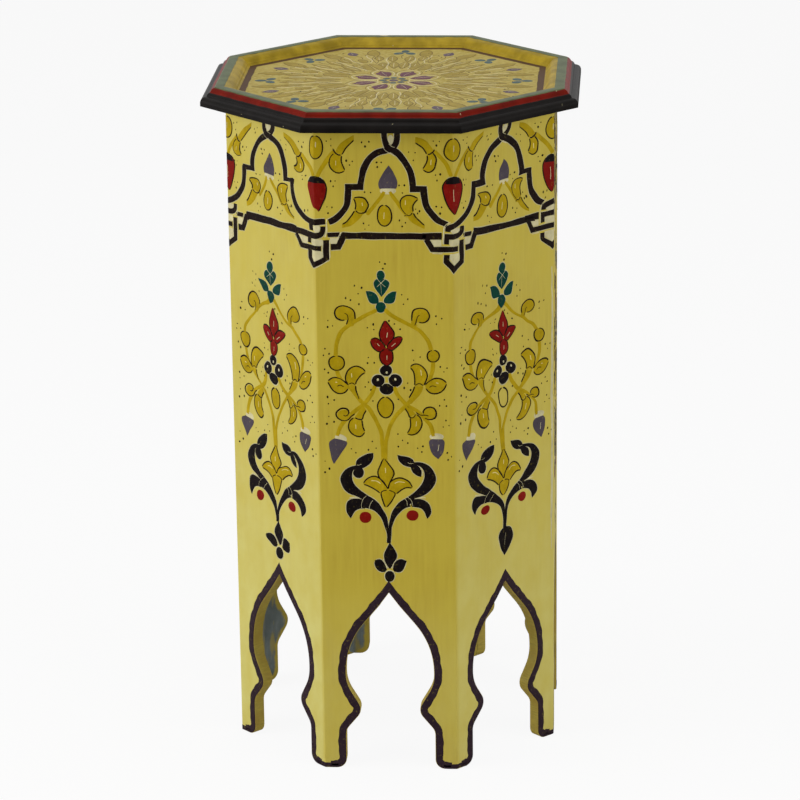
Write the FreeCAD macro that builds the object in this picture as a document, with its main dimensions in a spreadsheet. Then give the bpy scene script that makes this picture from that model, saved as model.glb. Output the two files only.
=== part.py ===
import FreeCAD, Part
import math
import os
import Sketcher

# Eight-sided side table: mitred boards with pointed arches between the feet,
# a thin deck let in below a mitred rim moulding, and hidden battens and blocks.
# Millimetres, +Z up. The origin is on the floor below the middle of the deck.
# One board faces -Y. Boards are numbered anticlockwise from it, seen from above.

SIDE_COUNT = 8
FULL_TURN = 360
HALF_SIDE_ANGLE = FULL_TURN / SIDE_COUNT / 2

# Driving sizes, one row each: name, value in millimetres, meaning.
SIZES = [
    ("table_height", 550, "floor to the flat of the rim"),
    ("body_across", 260, "across opposite boards, outside"),
    ("board_thick", 10, "thickness of a side board"),
    ("deck_thick", 6, "thickness of the deck"),
    ("deck_recess", 7.2, "flat of the rim down to the deck"),
    ("rim_drop", 14.5, "height of the rim moulding"),
    ("rim_reach", 19.2, "rim nose beyond the board face"),
    ("flat_reach", 7.7, "outer edge of the rim's flat beyond the board face"),
    ("flat_width", 7.2, "width of the rim's flat"),
    ("lip_reach", 9.2, "rim lip inward of the board face"),
    ("foot_gap", 72.4, "between the two feet of a board"),
    ("arch_width", 71.2, "arch opening at its widest"),
    ("lobe_gap", 43.8, "between the two lobes, to their sharp points"),
    ("arch_height", 152.6, "floor to the point of the arch"),
    ("low_arch_drop", 3.2, "how much lower some of the arches were sawn"),
    ("foot_round", 8, "radius at the foot's inner corner"),
    ("flare_round", 10, "radius above the foot"),
    ("lobe_round", 10, "radius of the lobe's tip"),
    ("shoulder_round", 30, "radius above the lobe"),
    ("haunch_round", 66, "radius of the arch's haunch"),
    ("cleat_wide", 15, "batten below the deck, inward"),
    ("cleat_high", 15, "batten below the deck, upward"),
    ("block_leg", 16, "corner block along each board"),
    ("block_high", 100, "corner block, upward"),
    ("brad_wide", 1.6, "brad shank"),
    ("brad_head_wide", 3.2, "brad head"),
    ("brad_head_thick", 0.8, "brad head"),
    ("brad_long", 25, "deck brad under its head"),
    ("cleat_brad_long", 20, "batten brad under its head"),
    ("brad_spread", 54, "between the two deck brads of one side"),
    ("cleat_brad_spread", 30, "between the two batten brads of one side"),
    ("seat_gap", 0.1, "glue line between flat faces"),
    ("bore_gap", 0.05, "between a brad and its bore, on the radius"),
    ("overrun", 5, "cutters run past what they cut"),
]

# Heights of the arch's turns, as shares of the arch's height.
FLARE_SHARE = 0.219
LOBE_SHARE = 0.3325
SHOULDER_SHARE = 0.484
HAUNCH_SHARE = 0.7065
OGEE_SHARE = 0.926
# Half width at the foot of the ogee, as a share of the arch's half width.
OGEE_WIDTH_SHARE = 0.23
# Sides with the lower arch, counted from 0 at the front.
LOW_ARCH_SIDES = (1, 4, 6)

# Outer profile of the rim, from the flat's edge to the nose: each corner as
# shares of the run outward and of the drop, with the sag of the curve that
# leads to it as a share of that curve's chord. A negative sag is a hollow.
OUTER_PROFILE_SHARES = [
    (0.31, 0.25, -0.10),
    (0.35, 0.27, 0),
    (0.55, 0.47, -0.14),
    (0.61, 0.49, 0),
    (1.0, 0.78, 0.19),
]
# Inner profile, from the flat's edge down to the lip's foot, likewise.
INNER_PROFILE_SHARES = [
    (0.72, 0.66, -0.12),
    (0.78, 0.74, 0),
    (1.0, 1.0, 0.16),
]
# Share of a straight run that the two roundings at its ends may use up.
ROUND_ROOM_SHARE = 0.98
# Two points nearer than this count as one.
SAME_PLACE = 1e-4

DOC = FreeCAD.newDocument("side_table")
SHEET = DOC.addObject("Spreadsheet::Sheet", "Sizes")


def fill_sheet():
    """Write the driving sizes to the sheet, with their names as aliases."""
    for row, (name, value, meaning) in enumerate(SIZES, start=1):
        SHEET.set(f"A{row}", name)
        SHEET.set(f"B{row}", str(value))
        SHEET.set(f"C{row}", meaning)
        SHEET.setAlias(f"B{row}", name)
    DOC.recompute()


# Lengths worked out from the driving sizes, as expressions of the sheet.
HALF_ANGLE = f"{HALF_SIDE_ANGLE} deg"
APOTHEM = "Sizes.body_across / 2"
HALF_OUTSIDE = f"Sizes.body_across / 2 * tan({HALF_ANGLE})"
MITRE_SET_BACK = f"Sizes.seat_gap / 2 / cos({HALF_ANGLE})"
DECK_TOP = "(Sizes.table_height - Sizes.deck_recess)"
DECK_UNDER = "(Sizes.table_height - Sizes.deck_recess - Sizes.deck_thick)"
BOARD_TOP = "(Sizes.table_height - Sizes.deck_recess - Sizes.deck_thick - Sizes.seat_gap)"
INSIDE = "(Sizes.board_thick + Sizes.seat_gap)"
CLEAT_UNDER = f"({BOARD_TOP} - Sizes.cleat_high)"
CLEAT_MIDDLE = f"({BOARD_TOP} - Sizes.cleat_high / 2)"
BRAD_RADIUS = "Sizes.brad_wide / 2"
BORE_RADIUS = "(Sizes.brad_wide / 2 + Sizes.bore_gap)"
HEAD_RADIUS = "Sizes.brad_head_wide / 2"
HEAD_BORE_RADIUS = "(Sizes.brad_head_wide / 2 + Sizes.bore_gap)"
HALF_SPREAD = "Sizes.brad_spread / 2"
HALF_CLEAT_SPREAD = "Sizes.cleat_brad_spread / 2"


def value(expression):
    """The number that an expression of the sheet gives."""
    return float(SHEET.evalExpression(expression))


def origin_feature(body, role):
    """A plane or axis of the body's own origin."""
    for feature in body.Origin.OriginFeatures:
        if feature.Role == role:
            return feature
    raise ValueError(f"{body.Label} has no {role}")


def new_sketch(body, name, plane, offset=None):
    """A sketch on one of the body's origin planes, raised by an expression."""
    sketch = body.newObject("Sketcher::SketchObject", name)
    sketch.AttachmentSupport = [(origin_feature(body, plane), "")]
    sketch.MapMode = "FlatFace"
    if offset is not None:
        sketch.setExpression("AttachmentOffset.Base.z", offset)
    return sketch


def pin_vertex(sketch, edge, end, corner):
    """Bind one end of an edge to a corner given as two expressions."""
    for kind, text in zip(("DistanceX", "DistanceY"), corner):
        number = value(text)
        index = sketch.addConstraint(Sketcher.Constraint(kind, -1, 1, edge, end, number))
        sketch.setExpression(f"Constraints[{index}]", text)


def radius_share(sag_share):
    """Radius of an arc as a share of its chord, from its sag as such a share."""
    return (4 * sag_share ** 2 + 1) / (8 * abs(sag_share))


def pin_radius(sketch, edge, start, end, sag_share):
    """Bind an arc's radius to its chord."""
    chord = f"hypot({end[0]} - ({start[0]}); {end[1]} - ({start[1]}))"
    radius = f"{chord} * {radius_share(sag_share)}"
    index = sketch.addConstraint(Sketcher.Constraint("Radius", edge, value(radius)))
    sketch.setExpression(f"Constraints[{index}]", radius)


def sagged_arc(start, end, sag_share):
    """Arc between two points, swelling to the right of its chord, or hollow if negative."""
    chord = end - start
    left = FreeCAD.Vector(-chord.y, chord.x, 0)
    lean = math.copysign(radius_share(sag_share) - abs(sag_share), sag_share)
    centre = start + chord / 2 + left * lean
    first, last = (start, end) if sag_share > 0 else (end, start)
    angles = [math.atan2(point.y - centre.y, point.x - centre.x) for point in (first, last)]
    if angles[1] < angles[0]:
        angles[1] += 2 * math.pi
    circle = Part.Circle(centre, FreeCAD.Vector(0, 0, 1), chord.Length * radius_share(sag_share))
    return Part.ArcOfCircle(circle, *angles)


def draw_outline(sketch, corners, sags=None):
    """Closed outline through the corners, anticlockwise, straight or sagged run by run."""
    sags = sags or [0] * len(corners)
    points = [FreeCAD.Vector(value(across), value(up), 0) for across, up in corners]
    for start, end, sag in zip(points, points[1:] + points[:1], sags):
        run = sagged_arc(start, end, sag) if sag else Part.LineSegment(start, end)
        sketch.addGeometry(run, False)
    for number, sag in enumerate(sags):
        following = (number + 1) % len(points)
        tail = 1 if sag < 0 else 2
        head = 2 if sags[following] < 0 else 1
        sketch.addConstraint(Sketcher.Constraint("Coincident", number, tail, following, head))
        pin_vertex(sketch, following, head, corners[following])
        if sag:
            pin_radius(sketch, number, corners[number], corners[following], sag)
    return sketch


def draw_circle(sketch, centre, radius):
    """Circle whose centre and radius are expressions."""
    middle = FreeCAD.Vector(value(centre[0]), value(centre[1]), 0)
    edge = sketch.addGeometry(Part.Circle(middle, FreeCAD.Vector(0, 0, 1), value(radius)), False)
    for kind, text in zip(("DistanceX", "DistanceY"), centre):
        if value(text) == 0:
            continue
        index = sketch.addConstraint(Sketcher.Constraint(kind, -1, 1, edge, 3, value(text)))
        sketch.setExpression(f"Constraints[{index}]", text)
    index = sketch.addConstraint(Sketcher.Constraint("Radius", edge, value(radius)))
    sketch.setExpression(f"Constraints[{index}]", radius)


def pad(body, sketch, length, both_sides=False, reverse=False):
    """Pad of a sketch by an expression."""
    feature = body.newObject("PartDesign::Pad", f"{sketch.Name}_pad")
    feature.Profile = sketch
    feature.setExpression("Length", length)
    feature.SideType = "Symmetric" if both_sides else "One side"
    feature.Reversed = reverse
    sketch.Visibility = False
    body.Tip = feature
    DOC.recompute()
    return feature


def pocket(body, sketch, length=None, both_sides=False, reverse=False):
    """Pocket of a sketch, by an expression or through all, that must remove material."""
    before = body.Tip.Shape.Volume
    feature = body.newObject("PartDesign::Pocket", f"{sketch.Name}_pocket")
    feature.Profile = sketch
    if length is None:
        feature.Type = "ThroughAll"
    else:
        feature.setExpression("Length", length)
    feature.SideType = "Symmetric" if both_sides else "One side"
    feature.Reversed = reverse
    body.Tip = feature
    DOC.recompute()
    if not feature.Shape.Volume < before:
        raise ValueError(f"{feature.Name} cuts nothing")
    return feature


def mirror(body, feature, plane):
    """Mirror of a feature in one of the body's origin planes."""
    copy = body.newObject("PartDesign::Mirrored", f"{feature.Name}_mirror")
    copy.Originals = [feature]
    copy.MirrorPlane = (origin_feature(body, plane), [""])
    body.Tip = copy
    DOC.recompute()
    return copy


def around(body, features):
    """Polar pattern of features about the body's upright axis, one per side."""
    pattern = body.newObject("PartDesign::PolarPattern", f"{features[0].Name}_around")
    pattern.Originals = features
    pattern.Axis = (origin_feature(body, "Z_Axis"), [""])
    pattern.Angle = FULL_TURN
    pattern.Occurrences = SIDE_COUNT
    body.Tip = pattern
    DOC.recompute()
    return pattern


def rounding_radii(corners, radii):
    """Radii of an outline's roundings, cut down where two would meet on a run."""
    points = [FreeCAD.Vector(value(across), value(up), 0) for across, up in corners]
    wanted = [value(radius) if radius else 0 for radius in radii]
    tangents = []
    for number, radius in enumerate(wanted):
        arriving = points[number] - points[number - 1]
        leaving = points[(number + 1) % len(points)] - points[number]
        tangents.append(radius * math.tan(arriving.getAngle(leaving) / 2))
    scales = [1] * len(points)
    for number in range(len(points)):
        following = (number + 1) % len(points)
        room = points[number].distanceToPoint(points[following]) * ROUND_ROOM_SHARE
        used = tangents[number] + tangents[following]
        scale = min(1, room / used) if used else 1
        scales[number] = min(scales[number], scale)
        scales[following] = min(scales[following], scale)
    return [radius * scale for radius, scale in zip(wanted, scales)]


def edges_through(shape, corners):
    """Names of the straight edges square to the outline that pass its corners."""
    names = []
    for number, edge in enumerate(shape.Edges, start=1):
        start, end = edge.Vertexes[0].Point, edge.Vertexes[-1].Point
        for across, up in corners:
            ends_there = all(
                math.hypot(point.x - across, point.z - up) < SAME_PLACE
                for point in (start, end)
            )
            if ends_there and start.distanceToPoint(end) > 0:
                names.append(f"Edge{number}")
    return names


def round_corners(body, name, corners, size, radius):
    """Fillet the outline's corners with one size of the sheet, or the room there is."""
    base = body.Tip
    places = [(value(across), value(up)) for across, up in corners]
    feature = body.newObject("PartDesign::Fillet", name)
    feature.Base = (base, edges_through(base.Shape, places))
    feature.setExpression("Radius", f"min({size}; {radius})")
    body.Tip = feature
    DOC.recompute()


def cut_mitres(body, depth_from, depth_to):
    """Cut both ends of a side's piece along the planes between neighbouring sides."""
    sketch = new_sketch(body, f"{body.Name}_mitre", "XY_Plane")
    near, far = f"({depth_from})", f"({depth_to})"
    near_half = f"{HALF_OUTSIDE} - {near} * tan({HALF_ANGLE}) - {MITRE_SET_BACK}"
    far_half = f"{HALF_OUTSIDE} - {far} * tan({HALF_ANGLE}) - {MITRE_SET_BACK}"
    outside = f"{near_half} + ({far} - {near} + Sizes.overrun)"
    draw_outline(sketch, [(near_half, near), (outside, near), (outside, far), (far_half, far)])
    mirror(body, pocket(body, sketch, both_sides=True), "YZ_Plane")


def place_on_side(body, side):
    """Turn a piece drawn behind the face y = 0 to its own side of the table."""
    offset = FreeCAD.Placement(FreeCAD.Vector(0, -value(APOTHEM), 0), FreeCAD.Rotation())
    turn = FreeCAD.Rotation(FreeCAD.Vector(0, 0, 1), FULL_TURN / SIDE_COUNT * side)
    body.Placement = FreeCAD.Placement(FreeCAD.Vector(), turn).multiply(offset)


def new_piece(label):
    """Body with its own label, which also names its file."""
    body = DOC.addObject("PartDesign::Body", label)
    body.Label = label
    return body


def arch_corners(sign, height):
    """Corners of one half of the arch, from the floor to below the point: the
    turns above the lobe follow the height of this board's own arch."""
    half_foot = f"{sign} * Sizes.foot_gap / 2"
    half_lobe = f"{sign} * Sizes.lobe_gap / 2"
    half_arch = f"{sign} * Sizes.arch_width / 2"
    return [
        (half_foot, "0"),
        (half_foot, f"Sizes.arch_height * {FLARE_SHARE}"),
        (half_lobe, f"Sizes.arch_height * {LOBE_SHARE}"),
        (half_arch, f"({height}) * {SHOULDER_SHARE}"),
        (half_arch, f"({height}) * {HAUNCH_SHARE}"),
        (f"{half_arch} * {OGEE_WIDTH_SHARE}", f"({height}) * {OGEE_SHARE}"),
    ]


def side_board(side):
    """Upright board with a pointed, lobed arch between its two feet, mitred both sides."""
    body = new_piece(f"side_board_{side + 1}")
    height = "Sizes.arch_height"
    if side in LOW_ARCH_SIDES:
        height += " - Sizes.low_arch_drop"
    right, left = arch_corners(1, height), arch_corners(-1, height)
    outer = [
        (f"-({HALF_OUTSIDE})", "0"),
        (f"-({HALF_OUTSIDE})", BOARD_TOP),
        (HALF_OUTSIDE, BOARD_TOP),
        (HALF_OUTSIDE, "0"),
    ]
    point = [("0", height)]
    corners = outer + right + point + left[::-1]
    rounds = [
        "Sizes.foot_round",
        "Sizes.flare_round",
        "Sizes.lobe_round",
        "Sizes.shoulder_round",
        "Sizes.haunch_round",
    ]
    sharp = [None] * len(outer + right + point + left)
    sharp[len(outer):len(outer) + len(rounds)] = rounds
    sharp[len(sharp) - len(rounds):] = rounds[::-1]
    radii = rounding_radii(corners, sharp)
    sketch = draw_outline(new_sketch(body, f"{body.Name}_outline", "XZ_Plane"), corners)
    pad(body, sketch, "Sizes.board_thick", reverse=True)
    for number, size in enumerate(rounds):
        name = f"{body.Name}_{size.split('.')[1]}"
        pair = [right[number], left[number]]
        round_corners(body, name, pair, size, radii[len(outer) + number])
    cut_mitres(body, "0", "Sizes.board_thick")
    bores = new_sketch(body, f"{body.Name}_deck_bores", "XY_Plane", BOARD_TOP)
    draw_circle(bores, (HALF_SPREAD, "Sizes.board_thick / 2"), BORE_RADIUS)
    depth = "Sizes.brad_long - Sizes.deck_thick + Sizes.bore_gap + Sizes.seat_gap"
    mirror(body, pocket(body, bores, depth), "YZ_Plane")
    bores = new_sketch(body, f"{body.Name}_cleat_bores", "XZ_Plane", "-Sizes.board_thick")
    draw_circle(bores, (HALF_CLEAT_SPREAD, CLEAT_MIDDLE), BORE_RADIUS)
    depth = "Sizes.cleat_brad_long - Sizes.cleat_wide + Sizes.bore_gap + Sizes.seat_gap"
    mirror(body, pocket(body, bores, depth, reverse=True), "YZ_Plane")
    place_on_side(body, side)
    return body


def rim_moulding(side):
    """Moulding of one side: flat, coved and rounded nose outside, coved lip inside."""
    body = new_piece(f"rim_moulding_{side + 1}")
    run = "(Sizes.rim_reach - Sizes.flat_reach)"
    inner_run = "(Sizes.lip_reach + Sizes.flat_reach - Sizes.flat_width)"
    inner_drop = "(Sizes.deck_recess - Sizes.seat_gap)"
    inner_edge = "Sizes.flat_width - Sizes.flat_reach"
    corners = [(inner_edge, "Sizes.table_height"), ("-Sizes.flat_reach", "Sizes.table_height")]
    sags = [0]
    for across, down, sag in OUTER_PROFILE_SHARES:
        corners.append((
            f"-Sizes.flat_reach - {run} * {across}",
            f"Sizes.table_height - Sizes.rim_drop * {down}",
        ))
        sags.append(sag)
    corners += [
        ("-Sizes.rim_reach", "Sizes.table_height - Sizes.rim_drop"),
        ("-Sizes.seat_gap", "Sizes.table_height - Sizes.rim_drop"),
        ("-Sizes.seat_gap", f"{DECK_TOP} + Sizes.seat_gap"),
    ]
    sags += [0, 0, 0, 0]
    for across, down, sag in INNER_PROFILE_SHARES[::-1]:
        corners.append((
            f"{inner_edge} + {inner_run} * {across}",
            f"Sizes.table_height - {inner_drop} * {down}",
        ))
        sags.append(sag)
    outline = new_sketch(body, f"{body.Name}_profile", "YZ_Plane")
    draw_outline(outline, corners, sags)
    length = f"2 * ({HALF_OUTSIDE} + Sizes.rim_reach)"
    pad(body, outline, length, both_sides=True)
    cut_mitres(body, "-Sizes.rim_reach - Sizes.overrun", "Sizes.lip_reach + Sizes.overrun")
    place_on_side(body, side)
    return body


def octagon(size):
    """Corners of an eight-sided outline whose sides lie at a distance from the middle."""
    corners = []
    for number in range(SIDE_COUNT):
        angle = f"{HALF_SIDE_ANGLE + FULL_TURN / SIDE_COUNT * number} deg"
        reach = f"({size}) / cos({HALF_ANGLE})"
        corners.append((f"{reach} * cos({angle})", f"{reach} * sin({angle})"))
    return corners


def deck():
    """Thin eight-sided deck on the boards' top edges, bored for the brads of every side."""
    body = new_piece("deck")
    outline = new_sketch(body, "deck_outline", "XY_Plane", DECK_UNDER)
    draw_outline(outline, octagon(APOTHEM))
    pad(body, outline, "Sizes.deck_thick")
    features = []
    row = f"Sizes.board_thick / 2 - {APOTHEM}"
    for name, radius, depth in (
        ("deck_bores", BORE_RADIUS, None),
        ("deck_head_seats", HEAD_BORE_RADIUS, "Sizes.brad_head_thick"),
    ):
        sketch = new_sketch(body, name, "XY_Plane", DECK_TOP)
        draw_circle(sketch, (HALF_SPREAD, row), radius)
        draw_circle(sketch, (f"-{HALF_SPREAD}", row), radius)
        features.append(pocket(body, sketch, depth))
    around(body, features)
    return body


def top_cleat(side):
    """Mitred batten under the deck along the inside of one board."""
    body = new_piece(f"top_cleat_{side + 1}")
    inner = f"({INSIDE} + Sizes.cleat_wide)"
    outline = new_sketch(body, f"{body.Name}_section", "YZ_Plane")
    corners = [(INSIDE, CLEAT_UNDER), (inner, CLEAT_UNDER), (inner, BOARD_TOP), (INSIDE, BOARD_TOP)]
    draw_outline(outline, corners)
    pad(body, outline, f"2 * ({HALF_OUTSIDE})", both_sides=True)
    cut_mitres(body, f"{INSIDE} - Sizes.overrun", f"{inner} + Sizes.overrun")
    bores = new_sketch(body, f"{body.Name}_bores", "XZ_Plane", f"-{inner}")
    draw_circle(bores, (HALF_CLEAT_SPREAD, CLEAT_MIDDLE), BORE_RADIUS)
    mirror(body, pocket(body, bores, reverse=True), "YZ_Plane")
    place_on_side(body, side)
    return body


def corner_block(side):
    """Three-sided block glued into the corner after one board, below the battens."""
    body = new_piece(f"corner_block_{side + 1}")
    inner_corner = f"({APOTHEM} - {INSIDE}) / cos({HALF_ANGLE})"
    back = f"{inner_corner} - Sizes.block_leg * sin({HALF_ANGLE})"
    half_width = f"Sizes.block_leg * cos({HALF_ANGLE})"
    top = f"({CLEAT_UNDER} - Sizes.seat_gap)"
    outline = new_sketch(body, f"{body.Name}_section", "XY_Plane", top)
    corners = [(inner_corner, "0"), (back, half_width), (back, f"-{half_width}")]
    draw_outline(outline, corners)
    pad(body, outline, "Sizes.block_high", reverse=True)
    angle = FULL_TURN / SIDE_COUNT * side - FULL_TURN / 4 + HALF_SIDE_ANGLE
    body.Placement.Rotation = FreeCAD.Rotation(FreeCAD.Vector(0, 0, 1), angle)
    return body


def brad(name, length):
    """Wire brad along +Z, its head's flat top at the origin."""
    head = DOC.addObject("Part::Cylinder", f"{name}_head")
    head.setExpression("Radius", HEAD_RADIUS)
    head.setExpression("Height", "Sizes.brad_head_thick")
    head.setExpression("Placement.Base.z", "-Sizes.brad_head_thick")
    shank = DOC.addObject("Part::Cylinder", f"{name}_shank")
    shank.setExpression("Radius", BRAD_RADIUS)
    shank.setExpression("Height", length)
    shank.setExpression("Placement.Base.z", f"-({length})")
    joined = DOC.addObject("Part::MultiFuse", name)
    joined.Shapes = [head, shank]
    joined.Refine = True
    DOC.recompute()
    return joined


def brad_group(label, pattern, lay, across, depth, height):
    """All brads of one kind: two per side, copied from a pattern brad."""
    copies = []
    for side in range(SIDE_COUNT):
        for sign in (-1, 1):
            spot = (sign * value(across), value(depth) - value(APOTHEM), value(height))
            place = FreeCAD.Placement(FreeCAD.Vector(*spot), lay)
            turn = FreeCAD.Rotation(FreeCAD.Vector(0, 0, 1), FULL_TURN / SIDE_COUNT * side)
            copy = pattern.Shape.copy()
            copy.Placement = FreeCAD.Placement(FreeCAD.Vector(), turn).multiply(place)
            copies.append(copy)
    group = DOC.addObject("Part::Feature", label)
    group.Label = label
    group.Shape = Part.makeCompound(copies)
    return group


def build_brads():
    """Deck brads down into the boards, batten brads outward into the boards."""
    upright = FreeCAD.Rotation()
    outward = FreeCAD.Rotation(FreeCAD.Vector(1, 0, 0), -FULL_TURN / 4)
    deck_brad = brad("deck_brad", "Sizes.brad_long")
    cleat_brad = brad("cleat_brad", "Sizes.cleat_brad_long + Sizes.brad_head_thick")
    cleat_face = f"{INSIDE} + Sizes.cleat_wide + Sizes.brad_head_thick"
    return [
        brad_group(
            "deck_brads", deck_brad, upright, HALF_SPREAD, "Sizes.board_thick / 2", DECK_TOP
        ),
        brad_group(
            "cleat_brads", cleat_brad, outward, HALF_CLEAT_SPREAD, cleat_face, CLEAT_MIDDLE
        ),
    ]


def check(pieces):
    """Stop if any object failed, or any piece has no valid solid."""
    for item in DOC.Objects:
        if "Invalid" in item.State or "Error" in item.State:
            raise ValueError(f"{item.Label} failed: {item.State}")
    for piece in pieces:
        if piece.Shape.isNull() or not piece.Shape.isValid() or not piece.Shape.Solids:
            raise ValueError(f"{piece.Label} has no valid solid")


def main():
    """Build every piece and write one file for each."""
    fill_sheet()
    pieces = [deck()]
    for side in range(SIDE_COUNT):
        pieces += [side_board(side), rim_moulding(side), top_cleat(side), corner_block(side)]
    pieces += build_brads()
    DOC.recompute()
    check(pieces)
    os.makedirs("parts", exist_ok=True)
    for piece in pieces:
        piece.Shape.exportStep(os.path.join("parts", f"{piece.Label}.step"))
        solids = len(piece.Shape.Solids)
        print(f"{piece.Label}: {solids} solid(s), {piece.Shape.Volume:.0f} mm3")


main()
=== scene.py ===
"""Eight-sided painted side table: the looks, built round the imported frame.

Every mark on the boards is a brush stroke of its own: a strip between two
border lines, a little proud of the ground paint. Lengths in this file are in
millimetres until a mesh is made, where they turn to metres.
"""

import math

import bmesh
import bpy
import numpy as np
from bpy.props import FloatProperty, FloatVectorProperty, IntProperty, PointerProperty
from mathutils import Matrix, Vector


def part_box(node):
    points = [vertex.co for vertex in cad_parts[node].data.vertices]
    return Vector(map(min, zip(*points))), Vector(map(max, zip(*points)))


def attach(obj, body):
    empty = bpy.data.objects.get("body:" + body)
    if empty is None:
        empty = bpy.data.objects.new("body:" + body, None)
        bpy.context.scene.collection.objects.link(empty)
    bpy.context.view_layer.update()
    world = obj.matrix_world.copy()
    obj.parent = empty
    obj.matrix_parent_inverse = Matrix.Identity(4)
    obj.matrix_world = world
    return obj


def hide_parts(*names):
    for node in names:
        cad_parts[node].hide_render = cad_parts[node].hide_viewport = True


bl_info = {
    "name": "Painted Eight-Sided Table",
    "version": (1, 0, 0),
    "blender": (4, 5, 0),
    "location": "View3D > Sidebar > Painted Table",
    "description": "Boards, moulded rim, sunk deck and brushed ornament of a small table",
    "category": "Add Mesh",
}

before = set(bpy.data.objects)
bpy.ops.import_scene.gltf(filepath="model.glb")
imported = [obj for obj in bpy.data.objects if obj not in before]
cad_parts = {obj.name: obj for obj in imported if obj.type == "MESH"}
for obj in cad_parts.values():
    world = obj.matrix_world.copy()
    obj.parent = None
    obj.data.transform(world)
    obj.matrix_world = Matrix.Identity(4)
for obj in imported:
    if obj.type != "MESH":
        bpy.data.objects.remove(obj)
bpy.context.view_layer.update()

MM = 0.001
SIDES = 8
TURN = 2 * math.pi / SIDES
HALF_TURN = TURN / 2
BODY = "root"
# An edge that turns by more than this is sharp, in degrees; on paint, by more than that.
SHARP_ANGLE, PAINT_ANGLE = 35, 60


def node_size(node, axis):
    """Lowest and highest place of a CAD node along one axis, in millimetres."""
    low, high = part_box(node)
    return low[axis] / MM, high[axis] / MM


APOTHEM = -node_size("side_board_1", 1)[0]
INSIDE = -node_size("side_board_1", 1)[1]
BOARD_TOP = node_size("side_board_1", 2)[1]
DECK_TOP = node_size("deck", 2)[1]
RIM_TOP = node_size("rim_moulding_1", 2)[1]
HALF = APOTHEM * math.tan(HALF_TURN)
WIDTH = 2 * HALF


def linear(code):
    """Linear colour of an sRGB hex code: c / 12.92, or ((c + 0.055) / 1.055) ** 2.4."""
    values = [int(code[i:i + 2], 16) / 255 for i in (1, 3, 5)]
    return tuple(v / 12.92 if v <= 0.04045 else ((v + 0.055) / 1.055) ** 2.4 for v in values)


def colour(code, name, description):
    """A colour the user may change, given as sRGB hex."""
    return FloatVectorProperty(
        name=name, description=description, subtype="COLOR", size=3, min=0, max=1,
        default=linear(code),
    )


def length(value, name, description):
    """A length in millimetres the user may change."""
    return FloatProperty(name=name, description=description, default=value, min=0)


class TableSizes(bpy.types.PropertyGroup):
    """Lengths of the paint work, in millimetres."""

    corner_round: length(1.3, "Corner round", "Radius of a board's painted corner, mm")
    arch_round: length(0.45, "Arch round", "Radius along the sawn edge of an arch, mm")
    step: length(1.3, "Brush step", "Spacing of the rows along a brush stroke, mm")
    sink: length(0.06, "Brush sink", "How far a stroke's border lies in the ground, mm")
    wobble: length(0.28, "Hand wobble", "How far the hand strays from the pattern, mm")
    stem_share: FloatProperty(
        name="Stem share", description="Width of the gold stems over that in the table",
        default=1.1,
    )
    strap_share: FloatProperty(
        name="Strap share", description="Width of the straps against the pattern's", default=1.06,
        min=0.5, max=2, subtype="FACTOR",
    )
    line_width: length(1.65, "Outline width", "Width of the fine brush, mm")
    dot_width: length(1.8, "Dot width", "Width of a dot, mm")
    seed: IntProperty(name="Seed", description="Which hand painted it", default=11, min=0)


class TableColours(bpy.types.PropertyGroup):
    """Colours of the paints and of the bare wood."""

    ground: colour("#C4B03F", "Ground", "Yellow ground of the boards")
    ground_deep: colour("#AF9431", "Ground, deep", "Ground where the brush left it thick")
    # ground_pale is also the tone of the painted light on the side boards and towards the feet.
    ground_pale: colour("#D6CF80", "Ground, pale", "Ground where the brush left it thin")
    edge: colour("#C2AC3F", "Sawn edge", "Ochre on the sawn edges of the arches")
    stain: colour("#788281", "Inside stain", "Slate stain on the inside of the boards")
    gold: colour("#AE930A", "Gold", "Olive gold of leaves and stems")
    strap: colour("#160A06", "Strap", "Brown black of the interlaced straps")
    band: colour("#2E2028", "Band", "Brown of the band round the arches")
    outline: colour("#150A04", "Outline", "Fine brown line round the leaves")
    cream: colour("#CFC69A", "Cream", "Pale lines and caps")
    light: colour("#DDD08C", "Light", "Pale touch on a gold leaf")
    teal: colour("#043A2F", "Teal", "Teal flowers")
    halo: colour("#C4BC92", "Halo", "Pale line left round the dark strokes")
    red: colour("#7C0D04", "Red", "Red flowers and buds")
    black: colour("#0D0607", "Black", "Black flowers and scrolls")
    purple: colour("#4C444C", "Purple", "Grey purple drops")
    rim_black: colour("#0F0C0A", "Rim black", "Black of the rim's nose")
    rim_red: colour("#6C1102", "Rim red", "Red of the rim's hollow")
    rim_green: colour("#5D6745", "Rim green", "Green of the rim's flat")
    rim_ochre: colour("#AE942A", "Rim ochre", "Yellow of the rim's inner cove")
    stripe: colour("#59412E", "Stripe", "Brown stripe round the deck")
    deck: colour("#C6AF60", "Deck", "Ground of the deck under old varnish")
    olive: colour("#AE9847", "Olive", "Leaves of the deck, close to its ground")
    wood: colour("#B08A5A", "Wood", "Bare softwood inside the table")


def sizes():
    """The lengths as they are set now."""
    return bpy.context.scene.table_sizes


def tone(name):
    """One of the colours as it is set now."""
    return tuple(getattr(bpy.context.scene.table_colours, name))


# ---------------------------------------------------------------- brush lines


def way_along(points):
    """Way along a line up to each of its points, seen flat."""
    return np.append(0, np.cumsum(np.linalg.norm(np.diff(points[:, :2], axis=0), axis=1)))


def at_stations(line, run, stations):
    """Points of a line at the stations, where run is its way along."""
    return np.column_stack([np.interp(stations, run, column) for column in line.T])


def units(vectors):
    """Vectors of length one that point the same way."""
    return vectors / np.linalg.norm(vectors, axis=1)[:, None]


def at_turns(before, after):
    """Mean of the ways before and after each point, and the cosine of half its turn."""
    mean = units(before + after)
    return mean, (mean * after).sum(axis=1)


def about_axis(angle):
    """Matrix that turns rows of points about the table's axis."""
    c, s = math.cos(angle), math.sin(angle)
    return np.array([[c, s, 0], [-s, c, 0], [0, 0, 1]])


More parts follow.
